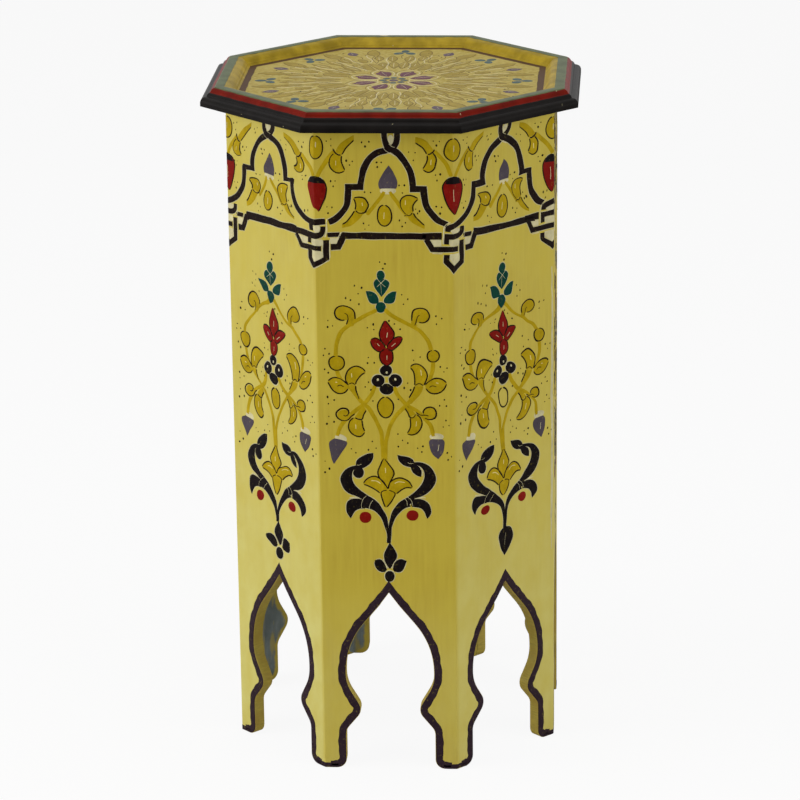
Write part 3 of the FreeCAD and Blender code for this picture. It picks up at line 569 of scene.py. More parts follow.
# The pattern of one board: across from its middle and up from the floor, in mm.
# Leaves are (paint, lined borders, left border, right border).
LEAVES = [
    # frieze: buds and tails above the arch of the strap
    ("gold", "lr", [(-37.5, 515.4), (-40.9, 511.3), (-41.6, 506.1), (-38.9, 501.5), (-34.8, 499.4),
                    (-29.8, 501)],
     [(-32.3, 513.7), (-32.3, 509.2), (-31.4, 505.1), (-29.8, 501)]),
    ("gold", "r", [(-37.1, 515.9), (-34.4, 520.8), (-29.4, 525.6), (-22.3, 529.6)],
     [(-32.3, 513.7), (-29.6, 518), (-26, 522), (-22.2, 526)]),
    ("gold", "lr", [(33.9, 514.2), (34.4, 510.3), (33.4, 506.7), (30.9, 502.5)],
     [(38, 515.9), (41.1, 511.3), (40.8, 507.2), (39, 502.5), (34.9, 500.3), (30.9, 502.5)]),
    ("gold", "l", [(33.9, 514.2), (31.4, 518.8), (28.3, 521.6), (24.8, 524.2)],
     [(39.8, 517), (35.6, 523.2), (31.2, 526.6), (25, 528.4)]),
    # frieze: below the strap
    ("gold", "lr", [(-23.6, 479.4), (-22.3, 477.3), (-21.3, 473.2), (-22.2, 469.5)],
     [(-23.6, 479.4), (-19.7, 480), (-14.7, 478.9), (-12, 474.8), (-12.6, 471.2), (-15.2, 467.6)]),
    ("gold", "l", [(-22.2, 469.5), (-25.3, 464.6), (-29.2, 460.2), (-32.9, 458.2)],
     [(-15.2, 467.6), (-19.4, 461.9), (-25.4, 457), (-32.9, 455.4)]),
    ("gold", "lr", [(27, 479.2), (22.9, 481.2), (17.8, 481.5), (13.8, 478.4), (12.7, 474.3),
                    (14.8, 469.6), (17.8, 466.1)],
     [(27, 479.2), (24.9, 477.3), (22.5, 473.2), (22.9, 468.1)]),
    ("gold", "r", [(17.8, 466.1), (21.4, 460.2), (26.5, 456.8), (32, 455)],
     [(22.9, 468.1), (25.5, 463.7), (29.4, 459.4), (32, 457.6)]),
    ("purple", "", [(4.2, 505.8), (0.4, 500.6), (-2.8, 495.2), (-4.2, 490.6), (-3.4, 486.6)],
     [(4.2, 505.8), (7.8, 501), (10.6, 495.2), (11.2, 491), (10.4, 487)]),
    # teal flower
    ("teal", "", [(-2.9, 413.6), (-4.6, 414.6), (-7.4, 413.6), (-8.7, 410.8), (-8, 407.4),
                  (-5.6, 403.3), (-2.7, 399.8)],
     [(-2.9, 413.6), (-2.9, 406), (-2.7, 399.8)]),
    ("teal", "", [(-2.9, 413.6), (-2.9, 406), (-2.7, 399.8)],
     [(-2.9, 413.6), (-1.2, 414.7), (1.9, 413.9), (3.9, 411.2), (3, 407.4), (0.4, 403.2),
      (-2.7, 399.8)]),
    ("teal", "", [(-14.6, 404.7), (-14, 401), (-13.4, 397.6), (-12, 394.8), (-9, 394),
                  (-5.6, 394.6)],
     [(-14.6, 404.7), (-11.1, 404.6), (-7.6, 402.9), (-5.4, 400), (-4.6, 397.1), (-5.2, 394.6)]),
    ("teal", "", [(9.1, 404.4), (6, 404.2), (2.4, 402.1), (-0.2, 399.3), (-1.2, 397.1),
                  (-0.6, 394.8)],
     [(9.1, 404.4), (8.7, 401), (8.3, 397.6), (6.8, 394.9), (3.6, 394), (0, 394.6)]),
    # red flower
    ("red", "lr", [(0, 380.9), (-2.7, 375.8), (-4.4, 370.2), (-3.3, 364.2), (0.5, 359.6)],
     [(0, 380.9), (3.3, 376.3), (6.8, 370.2), (5.3, 364.7), (0.8, 359.6)]),
    ("red", "lr", [(0.2, 358.1), (-3.7, 355.1), (-4.7, 349.5), (-2.9, 345.5), (0.8, 343.4)],
     [(0.2, 358.1), (4.7, 355.6), (6, 350), (4.5, 345.8), (0.8, 343.4)]),
    ("red", "lr", [(-12.1, 364), (-10.8, 360.1), (-8.1, 356.9), (-4.6, 355.1), (-0.3, 356.6)],
     [(-12.1, 364), (-8.6, 365.6), (-5.1, 364.8), (-2, 361.6), (0.2, 357.6)]),
    ("red", "lr", [(13.4, 366.8), (9.6, 367), (5.5, 365.2), (2.5, 362.1), (1.1, 357.6)],
     [(13.4, 366.8), (11.6, 362.6), (8.5, 358.9), (5, 356.2), (1.1, 356.4)]),
    # crescents beside the black flower, each with the tail of its stem
    ("gold", "r", [(-29.7, 327.8), (-26.4, 320.4), (-20.4, 312.2)],
     [(-24, 327.3), (-23.6, 322), (-20.9, 315.2)]),
    ("gold", "l", [(22.6, 327.3), (21.4, 322.6), (17.9, 316.4)],
     [(29.6, 326.8), (27, 320.2), (19.2, 311.8)]),
    ("gold", "lr", [(-16.1, 337.9), (-18.6, 340.7), (-23.7, 342.7), (-28.2, 340.9), (-31.2, 336.4),
                    (-31.7, 331.8), (-29.7, 327.8)],
     [(-16.1, 337.9), (-19.1, 336.3), (-21.7, 333.3), (-23.5, 330.3), (-24, 327.3)]),
    ("gold", "lr", [(19.1, 342.4), (21.2, 339.7), (22.4, 336.4), (22.9, 331.8), (22.6, 327.3)],
     [(19.1, 342.4), (21.6, 344.4), (25.6, 344.9), (29.7, 341.9), (32.2, 336.9), (31.7, 331.8),
      (29.6, 326.8)]),
    ("gold", "lr", [(-46.3, 330.3), (-44.3, 326.3), (-41.3, 322.8), (-37.2, 320.5), (-32.7, 321.2),
                    (-29.7, 324.6)],
     [(-46.3, 330.3), (-41.8, 333.1), (-36.7, 332.6), (-32.7, 330.1), (-29.2, 327.1)]),
    ("gold", "lr", [(47.7, 329.3), (44.2, 332.5), (39.2, 333.3), (34.7, 331.3), (30.6, 327.1)],
     [(47.7, 329.3), (45.7, 324.8), (42.2, 321.7), (37.7, 320.7), (33.6, 322), (30.9, 325.1)]),
    # pods below the crossing of the stems
    ("gold", "", [(-25.7, 300.6), (-22.1, 305.6), (-18.6, 310.7)],
     [(-19.5, 298.9), (-18.1, 303.1), (-16.1, 307.2)]),
    ("gold", "", [(18.5, 300.6), (17, 304.6), (15, 309.2)],
     [(23.6, 303.6), (20.5, 307.1), (17.5, 311.7)]),
    ("gold", "lr", [(-25.7, 300.6), (-29, 297.6), (-30, 292.6), (-27.6, 287.4), (-23.6, 284.8),
                    (-20.1, 285.1), (-17.1, 288.4)],
     [(-19.5, 298.9), (-19.3, 295.6), (-18.8, 291.6), (-17.1, 288.4)]),
    ("gold", "lr", [(18.5, 300.6), (18.9, 295.6), (18.5, 291.6), (16.3, 287.3)],
     [(23.6, 303.6), (27.1, 299.9), (28, 294.6), (25.2, 288.9), (20.5, 286.4), (16.3, 287.3)]),
    # purple drops
    ("purple", "", [(-41.5, 283), (-45.6, 280), (-46, 274.5), (-44.4, 268), (-42.1, 261.4)],
     [(-37, 282), (-31.4, 279.8), (-33, 275), (-37.4, 268.6), (-42.1, 261.4)]),
    ("purple", "", [(36.5, 283.5), (33.3, 281.5), (33.4, 277), (36, 271), (40.6, 266.2)],
     [(43.5, 283.5), (46.1, 281), (45.6, 276), (44, 271), (40.6, 266.2)]),
    # gold palmette between the scrolls
    ("gold", "lr", [(-2.1, 267.4), (-5, 261.5), (-7.3, 255), (-6, 249.8), (-3, 245.6), (0, 242)],
     [(-2.1, 267.4), (1.4, 261.5), (5, 255), (4, 250), (2, 246), (0.2, 242)]),
    ("gold", "r", [(-19.3, 244.7), (-14.4, 243.2), (-9.6, 240.6), (-5.6, 236), (-3, 230),
                   (-1.2, 226)],
     [(-19.3, 244.7), (-17, 248.3), (-13.4, 250.9), (-9.6, 251.4), (-5.8, 249.4), (-2.6, 246),
      (0.4, 240.5)]),
    ("gold", "l", [(20, 242.1), (17.2, 246.6), (13, 249.8), (9, 250.5), (4.8, 248.4), (1.9, 245.4),
                   (0.6, 240.5)],
     [(20, 242.1), (15, 242.2), (10.5, 240), (6.8, 236.4), (3.9, 231.1), (1, 226)]),
    # scrolls: stems, round bodies, top leaves, hook and lower leaves
    ("black", "", [(-1, 195), (-1.3, 202), (-2.4, 209), (-5.2, 215.6), (-8.9, 220.6), (-14, 223.7),
                   (-19, 224.8)],
     [(0.9, 195), (0.9, 204), (0.5, 211.5), (-1.6, 219.5), (-5.1, 226.5), (-10.6, 232.4),
      (-16.5, 236)]),
    ("black", "", [(0.6, 195), (0.8, 204), (0.8, 211), (2, 218.1), (4.3, 224), (8.8, 229.4),
                   (14.2, 233.6)],
     [(2.2, 195), (2.6, 202), (3.3, 209), (5.4, 215), (9.2, 220.6), (13.5, 224.2), (19, 226.4)]),
    ("black", "", [(-16.5, 224.6), (-20, 229), (-23.3, 233.4), (-30.4, 236.4), (-35.4, 241.4),
                   (-37.6, 247.9),
                   (-36.1, 253.6), (-31.1, 258.6), (-24.7, 260.9), (-18.5, 261.6)],
     [(-8.6, 229.6), (-11.1, 232.1), (-16.9, 236.4), (-21.9, 240), (-26.1, 245), (-27.9, 249.3),
      (-27.6, 253.6), (-25.4, 257.2), (-22, 259.2), (-18.5, 260.4)]),
    ("black", "", [(9.4, 229.6), (14.4, 233.4), (19.6, 237.1), (24.6, 242.1), (28.1, 247.1),
                   (29.6, 252.9),
                   (28.2, 257.9), (25.6, 260.4), (22.5, 261.6), (19, 261.8)],
     [(16, 225.8), (19.5, 229.5), (22.4, 232.9), (27.4, 234.7), (33.1, 238.6), (37.4, 244.3),
      (38.6, 250.7),
      (36.7, 257.1), (31.7, 262.1), (26, 263.8), (19, 263.2)]),
    ("black", "", [(-10.9, 271.1), (-15.4, 270.6), (-20.4, 268.2), (-24.2, 264.6), (-24.9, 261)],
     [(-10.9, 271.1), (-11.2, 266.6), (-13.4, 262), (-17, 259), (-21, 257.6), (-24.7, 258.5)]),
    ("black", "", [(7.9, 269.5), (9.2, 265), (12, 261.5), (15.5, 259.8), (19.5, 259.4), (22, 261)],
     [(7.9, 269.5), (12, 268.6), (17, 268), (20.4, 266), (21.4, 263.4)]),
    ("black", "", [(17.5, 262.6), (19, 258), (20.5, 254.5), (23.5, 252), (27, 251.1)],
     [(17.5, 262.6), (22, 262.4), (25.7, 260), (27.4, 256.4), (27, 251.1)]),
    ("black", "", [(-18.4, 232.2), (-25, 232.8), (-29.9, 232), (-32.9, 228.2), (-33.4, 222.1),
                   (-31, 217.6), (-29.4, 215.7)],
     [(-18, 224.2), (-21.9, 223.9), (-25.8, 221.6), (-28, 218.3), (-29.4, 215.7)]),
    ("black", "", [(19, 226.4), (25.3, 225.1), (28.7, 222), (30.3, 218.4), (31.5, 216)],
     [(18.4, 232.4), (26, 232.9), (31, 230.8), (34, 227.1), (34.9, 222.1), (33.6, 218.6),
      (31.5, 216)]),
]
PALMETTE_BASE = (
    "gold", "lr", [(0.3, 239.8), (-2.6, 239.4), (-5, 237.8), (-4.6, 233), (-3, 229), (-1.1, 225.4)],
    [(0.3, 239.8), (3.2, 239.2), (6, 237.3), (4.6, 233), (2, 229), (-1.1, 225.4)],
)
FLEUR = [
    ("black", "", [(1.4, 196), (-0.8, 191.8), (-3.8, 186), (-3.4, 181), (-1.2, 176.5), (1, 173)],
     [(1.4, 196), (4.4, 191.5), (7, 185.4), (5.6, 180), (3.4, 176), (1, 173)]),
    ("black", "", [(-11.1, 180.5), (-11.4, 176.6), (-9.2, 172.4), (-6, 170.3), (-2.4, 170.6)],
     [(-11.1, 180.5), (-7.4, 181.6), (-4.4, 180), (-2.2, 176.5), (-1.2, 172.4)]),
    ("black", "", [(14.6, 180), (10, 181.9), (6.2, 180.6), (4.2, 177), (3.2, 172.4)],
     [(14.6, 180), (13, 174.6), (10.8, 171), (7.8, 170), (4.2, 170.8)]),
]
LEAF_DROP = ("black", "", [(1.2, 196.9), (-3.6, 194.6), (-6, 189.1), (-4.4, 182), (-2.2, 177),
                           (0.1, 172.9)],
             [(1.2, 196.9), (7.4, 195), (10.5, 189.1), (7.6, 182), (4, 177), (0.1, 172.9)])
# Strokes are (paint, width or None where each point has its own, points).
STEMS = [
    ("gold", 3.2, [(-37.1, 517), (-43.6, 509.2), (-48.5, 502), (-51.7, 494.8)]),
    ("gold", 3, [(39.2, 517.5), (45.1, 511.3), (50.2, 504.1), (53.2, 496.4)]),
    ("gold", 2.8, [(1.1, 485.6), (-2.5, 479.4), (-7.6, 472.7), (-13.6, 465.5)]),
    ("gold", 2.8, [(4.6, 485.6), (8.7, 478.4), (13.7, 471.2), (19.3, 464)]),
    ("gold", 3, [(-4.5, 390.5), (-12.6, 386), (-21.7, 380.9), (-28.8, 376.3), (-35.3, 370.2),
                 (-38.3, 362.1), (-39.5, 350)]),
    ("gold", 3, [(-2, 390.5), (5.6, 384.4), (14.6, 379.4), (22.7, 375.3), (28.7, 370.2),
                 (33.8, 363.2), (36.7, 354)]),
    ("gold", 5.2, [(-27, 385.6), (-26.5, 380.4), (-27.7, 375)]),
    ("gold", 4, [(23.4, 384), (22.6, 379.4), (23.6, 374.8)]),
    ("gold", 3, [(-38.8, 340.9), (-37.3, 334.9), (-32.7, 327.3)]),
    ("gold", 3, [(37.2, 348), (36.7, 339.9), (33.2, 328.8)]),
    ("gold", 3, [(-2.6, 263.5), (-3.2, 273.5), (-4.1, 285.6), (-7.1, 295.6), (-12.6, 306.1),
                 (-17.6, 311.7), (-24.7, 320.2), (-29.7, 326.8)]),
    ("gold", 3, [(-1.2, 263.5), (-1.1, 274.5), (0.4, 285.6), (3.8, 295.6), (9.5, 304.6),
                 (15.5, 310.7), (20.6, 316.7), (26.6, 325.8)]),
    ("gold", 3, [(-39.2, 283.6), (-36.7, 292.6), (-33.2, 297.6), (-26.7, 304.1), (-17.6, 311.7),
                 (-12.1, 319.2), (-8.1, 327.8)]),
    ("gold", 3, [(37.6, 284.6), (34.6, 294.1), (31.6, 298.6), (25.1, 305.6), (15.5, 311.7),
                 (10, 318.2), (5.5, 326.8)]),
]
STROKES = [
    ("strap", None, [(10.9, 534, 4.4), (10.9, 526, 4.6), (8.8, 521, 4.8), (4.1, 518.1, 5),
                     (-2.5, 516.2, 5),
                     (-7.8, 513.4, 5), (-12, 508.6, 5), (-15.2, 502, 5), (-17, 495, 5),
                     (-17.8, 488.2, 5),
                     (-17.8, 488.2, 5), (-29.8, 488.2, 5)]),
    ("strap", None, [(1.4, 534, 4.2), (1.4, 526, 4.4), (3.6, 520.9, 4.8), (8.7, 517.1, 5),
                     (13.1, 513.4, 5),
                     (17.3, 507.7, 5), (20.6, 501, 5), (22.4, 494, 5), (22.8, 486.7, 5),
                     (22.8, 486.7, 5),
                     (34, 486.7, 5)]),
    ("strap", 5.2, [(-32.5, 449.3), (-20, 449.1), (0.5, 449), (20, 448.9), (33, 448.8)]),
    # pale touches on the flowers
    ("cream", 0.9, [(-6.2, 414.9), (1.2, 407.2)]),
    ("cream", 0.9, [(0.9, 414.9), (-6.6, 407.3)]),
    ("cream", 1.3, [(1.9, 371.8), (1, 366)]),
    ("cream", 1.2, [(-7.4, 362.3), (-4.2, 359.1)]),
    ("cream", 1.2, [(4, 358.6), (8.4, 362.9)]),
    ("cream", 1.2, [(1.1, 352.8), (1, 347.2)]),
    ("cream", 0.9, [(-3.8, 335.8), (-0.8, 332.8)]),
    ("cream", 0.9, [(4.6, 335.8), (2, 333)]),
    ("cream", 0.9, [(-3.6, 326.6), (-0.8, 329.6)]),
    ("cream", 0.9, [(5, 326.6), (2, 329.4)]),
    ("cream", 1, [(41.6, 279.4), (40.4, 272.4)]),
    ("cream", 0.9, [(-25.8, 257.6), (-27.4, 254.4), (-27.1, 250)]),
    ("cream", 0.9, [(-25, 261.2), (-22.2, 261), (-19.6, 262.6)]),
    ("cream", 0.9, [(26, 258.8), (27.9, 255.9), (28.3, 251.6)]),
    ("cream", 0.9, [(21.7, 262.9), (18, 262.4), (15.5, 264)]),
    ("cream", 1, [(-31, 233), (-25.4, 233.6), (-20.2, 231.8)]),
    ("cream", 1, [(-16.1, 235.6), (-19.7, 232.1), (-20.9, 228), (-20.4, 223.8)]),
    ("cream", 1, [(-11.2, 232), (-14, 227.9), (-15.1, 223.6)]),
    ("cream", 1, [(31, 233.8), (26, 233.7), (20.6, 232.6)]),
    ("cream", 1, [(15.1, 235.2), (18.9, 231.4), (20.4, 226.2)]),
    ("cream", 1, [(13.2, 233.6), (15.4, 230.7), (15.8, 226)]),
]
FLEUR_TOUCHES = [
    [(-4.5, 182), (-2.3, 178), (-0.4, 173)], [(6.5, 182), (4.1, 178), (2.3, 173)],
    [(-3, 170.2), (0.8, 172), (4.6, 170.2)],
]
DROP_TOUCHES = [[(1.5, 192.7), (0.6, 186), (0.4, 181)]]
# Ovals are (across, up, half width, half height, turn in degrees where there is one).
OVAL = (-0.6, 308.9, 6.1, 8.5)
FLEUR_BALL = (0.8, 166.9, 3.9, 4.6)
# Discs are (paint, lined, oval).
DISCS = [
    ("gold", True, (0.6, 465.4, 5.5, 8.3)), ("cell", False, (3.6, 485.3, 6.8, 2.9)),
    ("cell", False, (6.2, 526, 2.2, 3.8)),
    ("teal", False, (-3, 417.2, 3.5, 3.7)), ("teal", False, (-3.4, 391.3, 4.2, 4.6)),
    ("gold", False, (-31.6, 386.4, 7.8, 5.8)), ("gold", False, (27.9, 384.9, 7, 5.8)),
    ("gold", True, (-38.7, 345.3, 6.3, 5.9)), ("gold", True, (37.4, 351.7, 4.7, 4.9)),
    ("black", False, (0.1, 339.4, 5, 4.7)), ("black", False, (-6.2, 331, 5.3, 5.2)),
    ("black", False, (7.4, 331.4, 5.4, 5.4)), ("black", False, (0.4, 324.2, 5.6, 4.7)),
    ("cream", False, (0.6, 338, 0.9, 1.1)), ("cream", False, (-6.6, 332, 0.9, 1.1)),
    ("cream", False, (7.5, 332.4, 0.9, 1.1)),
    ("gold", False, (-33.9, 302.3, 4.9, 4.7)),
    ("gold", False, (34, 304.3, 4.9, 4.6)),
    ("cell", False, (-36.6, 282.9, 5, 3.2, -12)), ("cell", False, (39.5, 285, 5.6, 3)),
    ("black", False, (-23, 254.6, 4.7, 5)),
    ("red", False, (-17.9, 216.9, 4.9, 4.7)), ("red", False, (19.7, 218.9, 4.9, 4.6)),
]
# Lines of the fine brush, pale touches on the gold, and dots.
LINES = [
    [(-38.7, 519.1), (-37.1, 515.7), (-34.6, 513.8), (-32.3, 513.7)],
    [(40.3, 518.5), (38, 515.8), (36, 514.4), (33.9, 514.2)],
    [(-22.2, 469.5), (-18.9, 467.3), (-15.2, 467.6), (-12.9, 469.6)],
    [(15.8, 464.5), (17.8, 466.1), (20.2, 465.5), (22.9, 468.1)],
    [(-23.6, 380.8), (-24.1, 386.2), (-26.9, 390.4), (-32.6, 392.2), (-37.6, 390.5), (-39.7, 386.2),
     (-38.3, 382.4),
     (-34.7, 380.6), (-31, 381)],
    [(-32.7, 386.5), (-30, 385.4), (-29, 381), (-30.4, 376.4)],
    [(21.4, 379.6), (20.7, 384.6), (22.4, 388.8), (27.6, 390.7), (32.4, 389.3), (34.9, 385),
     (33.4, 380.8),
     (29.6, 379), (25.9, 380)],
    [(27.9, 385.3), (25.4, 383.9), (24.4, 380), (23.4, 376)],
    [(-29.7, 327.8), (-26.9, 329.4), (-24, 327.3)], [(22.6, 327.3), (26, 329.2), (29.6, 326.8)],
    [(-19.3, 244.7), (-14.4, 243.2), (-9.6, 240.6), (-5.4, 237)],
    [(20, 242.1), (15, 242.2), (10.5, 240), (6.6, 236.8)],
    [(-39.3, 325.8), (-36.2, 327.2), (-32.7, 325.4)], [(33.7, 325), (36.7, 327.2), (40.7, 326.4)],
    [(-25.7, 300.6), (-23.1, 299.2), (-19.5, 298.9), (-18.1, 302.6), (-16, 306.9)],
    [(14.5, 309.2), (17, 304.9), (18.5, 300.6), (21.5, 300.9), (23.6, 303.6)],
    [(-24.7, 304.1), (-28.2, 301.4), (-30.7, 298.6), (-34.7, 297.6), (-39, 300.1), (-39.4, 304.6),
     (-35.9, 308.1),
     (-31.2, 307.3), (-29.7, 304.3), (-31.7, 301.6), (-34.7, 302.4)],
    [(23.1, 305.4), (27.1, 303), (30.6, 303.2), (34.2, 302.2)],
    [(29.6, 301.1), (33.6, 299.5), (38.2, 300.8), (39.2, 304.6), (37.2, 308.6), (32.6, 309.2),
     (29.4, 306.6), (29.6, 303.6)],
]
TOUCHES = [
    [(-36.5, 510.3), (-36.6, 504.6)], [(37.4, 511.3), (37.2, 505.1)],
    [(-16.7, 476.8), (-15.9, 472.7)],
    [(17.4, 478.4), (16.8, 473.2)], [(0.4, 469.1), (0.3, 462)], [(-27.3, 337.9), (-26.9, 332.8)],
    [(27.3, 340.9), (28, 334.9)], [(-24.4, 295.6), (-24.4, 290.1)], [(23.5, 298.6), (23.5, 292.6)],
    [(-1.6, 259.5), (-1.2, 253.5)], [(-13.6, 247.8), (-8.6, 247.7), (-5.1, 245)],
    [(14.7, 246.5), (9.4, 247.3), (5.4, 245)],
    [(-41.3, 329.4), (-37.7, 329.2)], [(38.7, 330.2), (42.2, 329.4)],
]
DOTS = [
    (-43.7, 524.7), (-40.1, 526.3), (-40.1, 521.1), (-16.2, 523.7), (-10.6, 524.2), (-13.7, 520.6),
    (-28.4, 509.2), (-23.8, 508.7),
    (-25.9, 505.6), (-5, 507.7), (-1.5, 507.7), (-4.5, 504.1), (-41.1, 492.8), (-37.5, 492.8),
    (-39, 488.6), (-14.7, 483.8),
    (-9.9, 483.7), (12.2, 489.7), (16.3, 489.7), (14.8, 483.8), (19.9, 516.1), (25, 515.7),
    (23.5, 509.7), (39.3, 524.9),
    (43.8, 524.7), (41.6, 521.6), (40.2, 497.9), (44.1, 498.4), (41.7, 493.8), (-44.1, 472.2),
    (-40, 471.9), (-43.1, 467.3),
    (41.1, 472.9), (45.2, 472.2), (43.7, 467.3), (24.9, 470.7), (27.9, 469.1), (26.4, 467.4),
    (-15.7, 459.4), (-11.6, 457.9),
    (-14.7, 454.3), (12, 461.4), (16.8, 459.7), (14.3, 457), (-3.5, 428.2), (0.5, 426.7),
    (-1.2, 422.6),
    (-23.7, 408.8), (-18.2, 407.3), (-20.7, 402.2), (13.1, 401.7), (17.7, 398.2), (14.6, 394.1),
    (-30.8, 398.7), (-26.8, 397.1),
    (-20.7, 393.6), (-44.9, 380.4), (-41.4, 375.8), (-45.4, 374.8), (39.9, 384.4), (44.4, 382.4),
    (40.3, 377.8), (3, 380.4),
    (7.1, 377.8), (11.6, 373.3), (-9.6, 377.3), (-9.1, 373.3), (-14.1, 374.8), (-47.9, 357.1),
    (-44.3, 353), (-48.9, 351.5),
    (21.1, 356.1), (22.1, 348), (27.2, 351), (-13.6, 350), (-14.1, 345.5), (-9.1, 346),
    (-48.3, 340.4),
    (-45.3, 337.4), (48.3, 341.9), (45.8, 338.9), (42.8, 342.9), (17.1, 329.3), (14.5, 325.3),
    (19.6, 323.8), (-13.6, 329.8),
    (-16.6, 325.8), (-12.1, 323.3), (-46.3, 317.2), (-41.2, 314.7), (-45.8, 311.7), (45.7, 315.7),
    (47.7, 310.7), (42.2, 310.7),
    (-10.6, 314.2), (9.5, 315.7), (-45.7, 301.1), (-41.7, 296.6), (-47.2, 295.1), (47.1, 298.6),
    (45.1, 293.1), (49.6, 294.6),
    (9, 287.1), (12.5, 281.5), (9, 276.5), (16.5, 279.5), (-11.6, 280.5), (-8.6, 275),
    (-14.6, 273.5), (-28.1, 274.5),
    (-24.6, 271), (24.5, 275.5), (28.5, 277), (27.5, 272), (-46.1, 257.5), (-49.6, 254.5),
    (-49.2, 263.5), (47.5, 271.5),
    (48.5, 266), (51, 268.5),
]

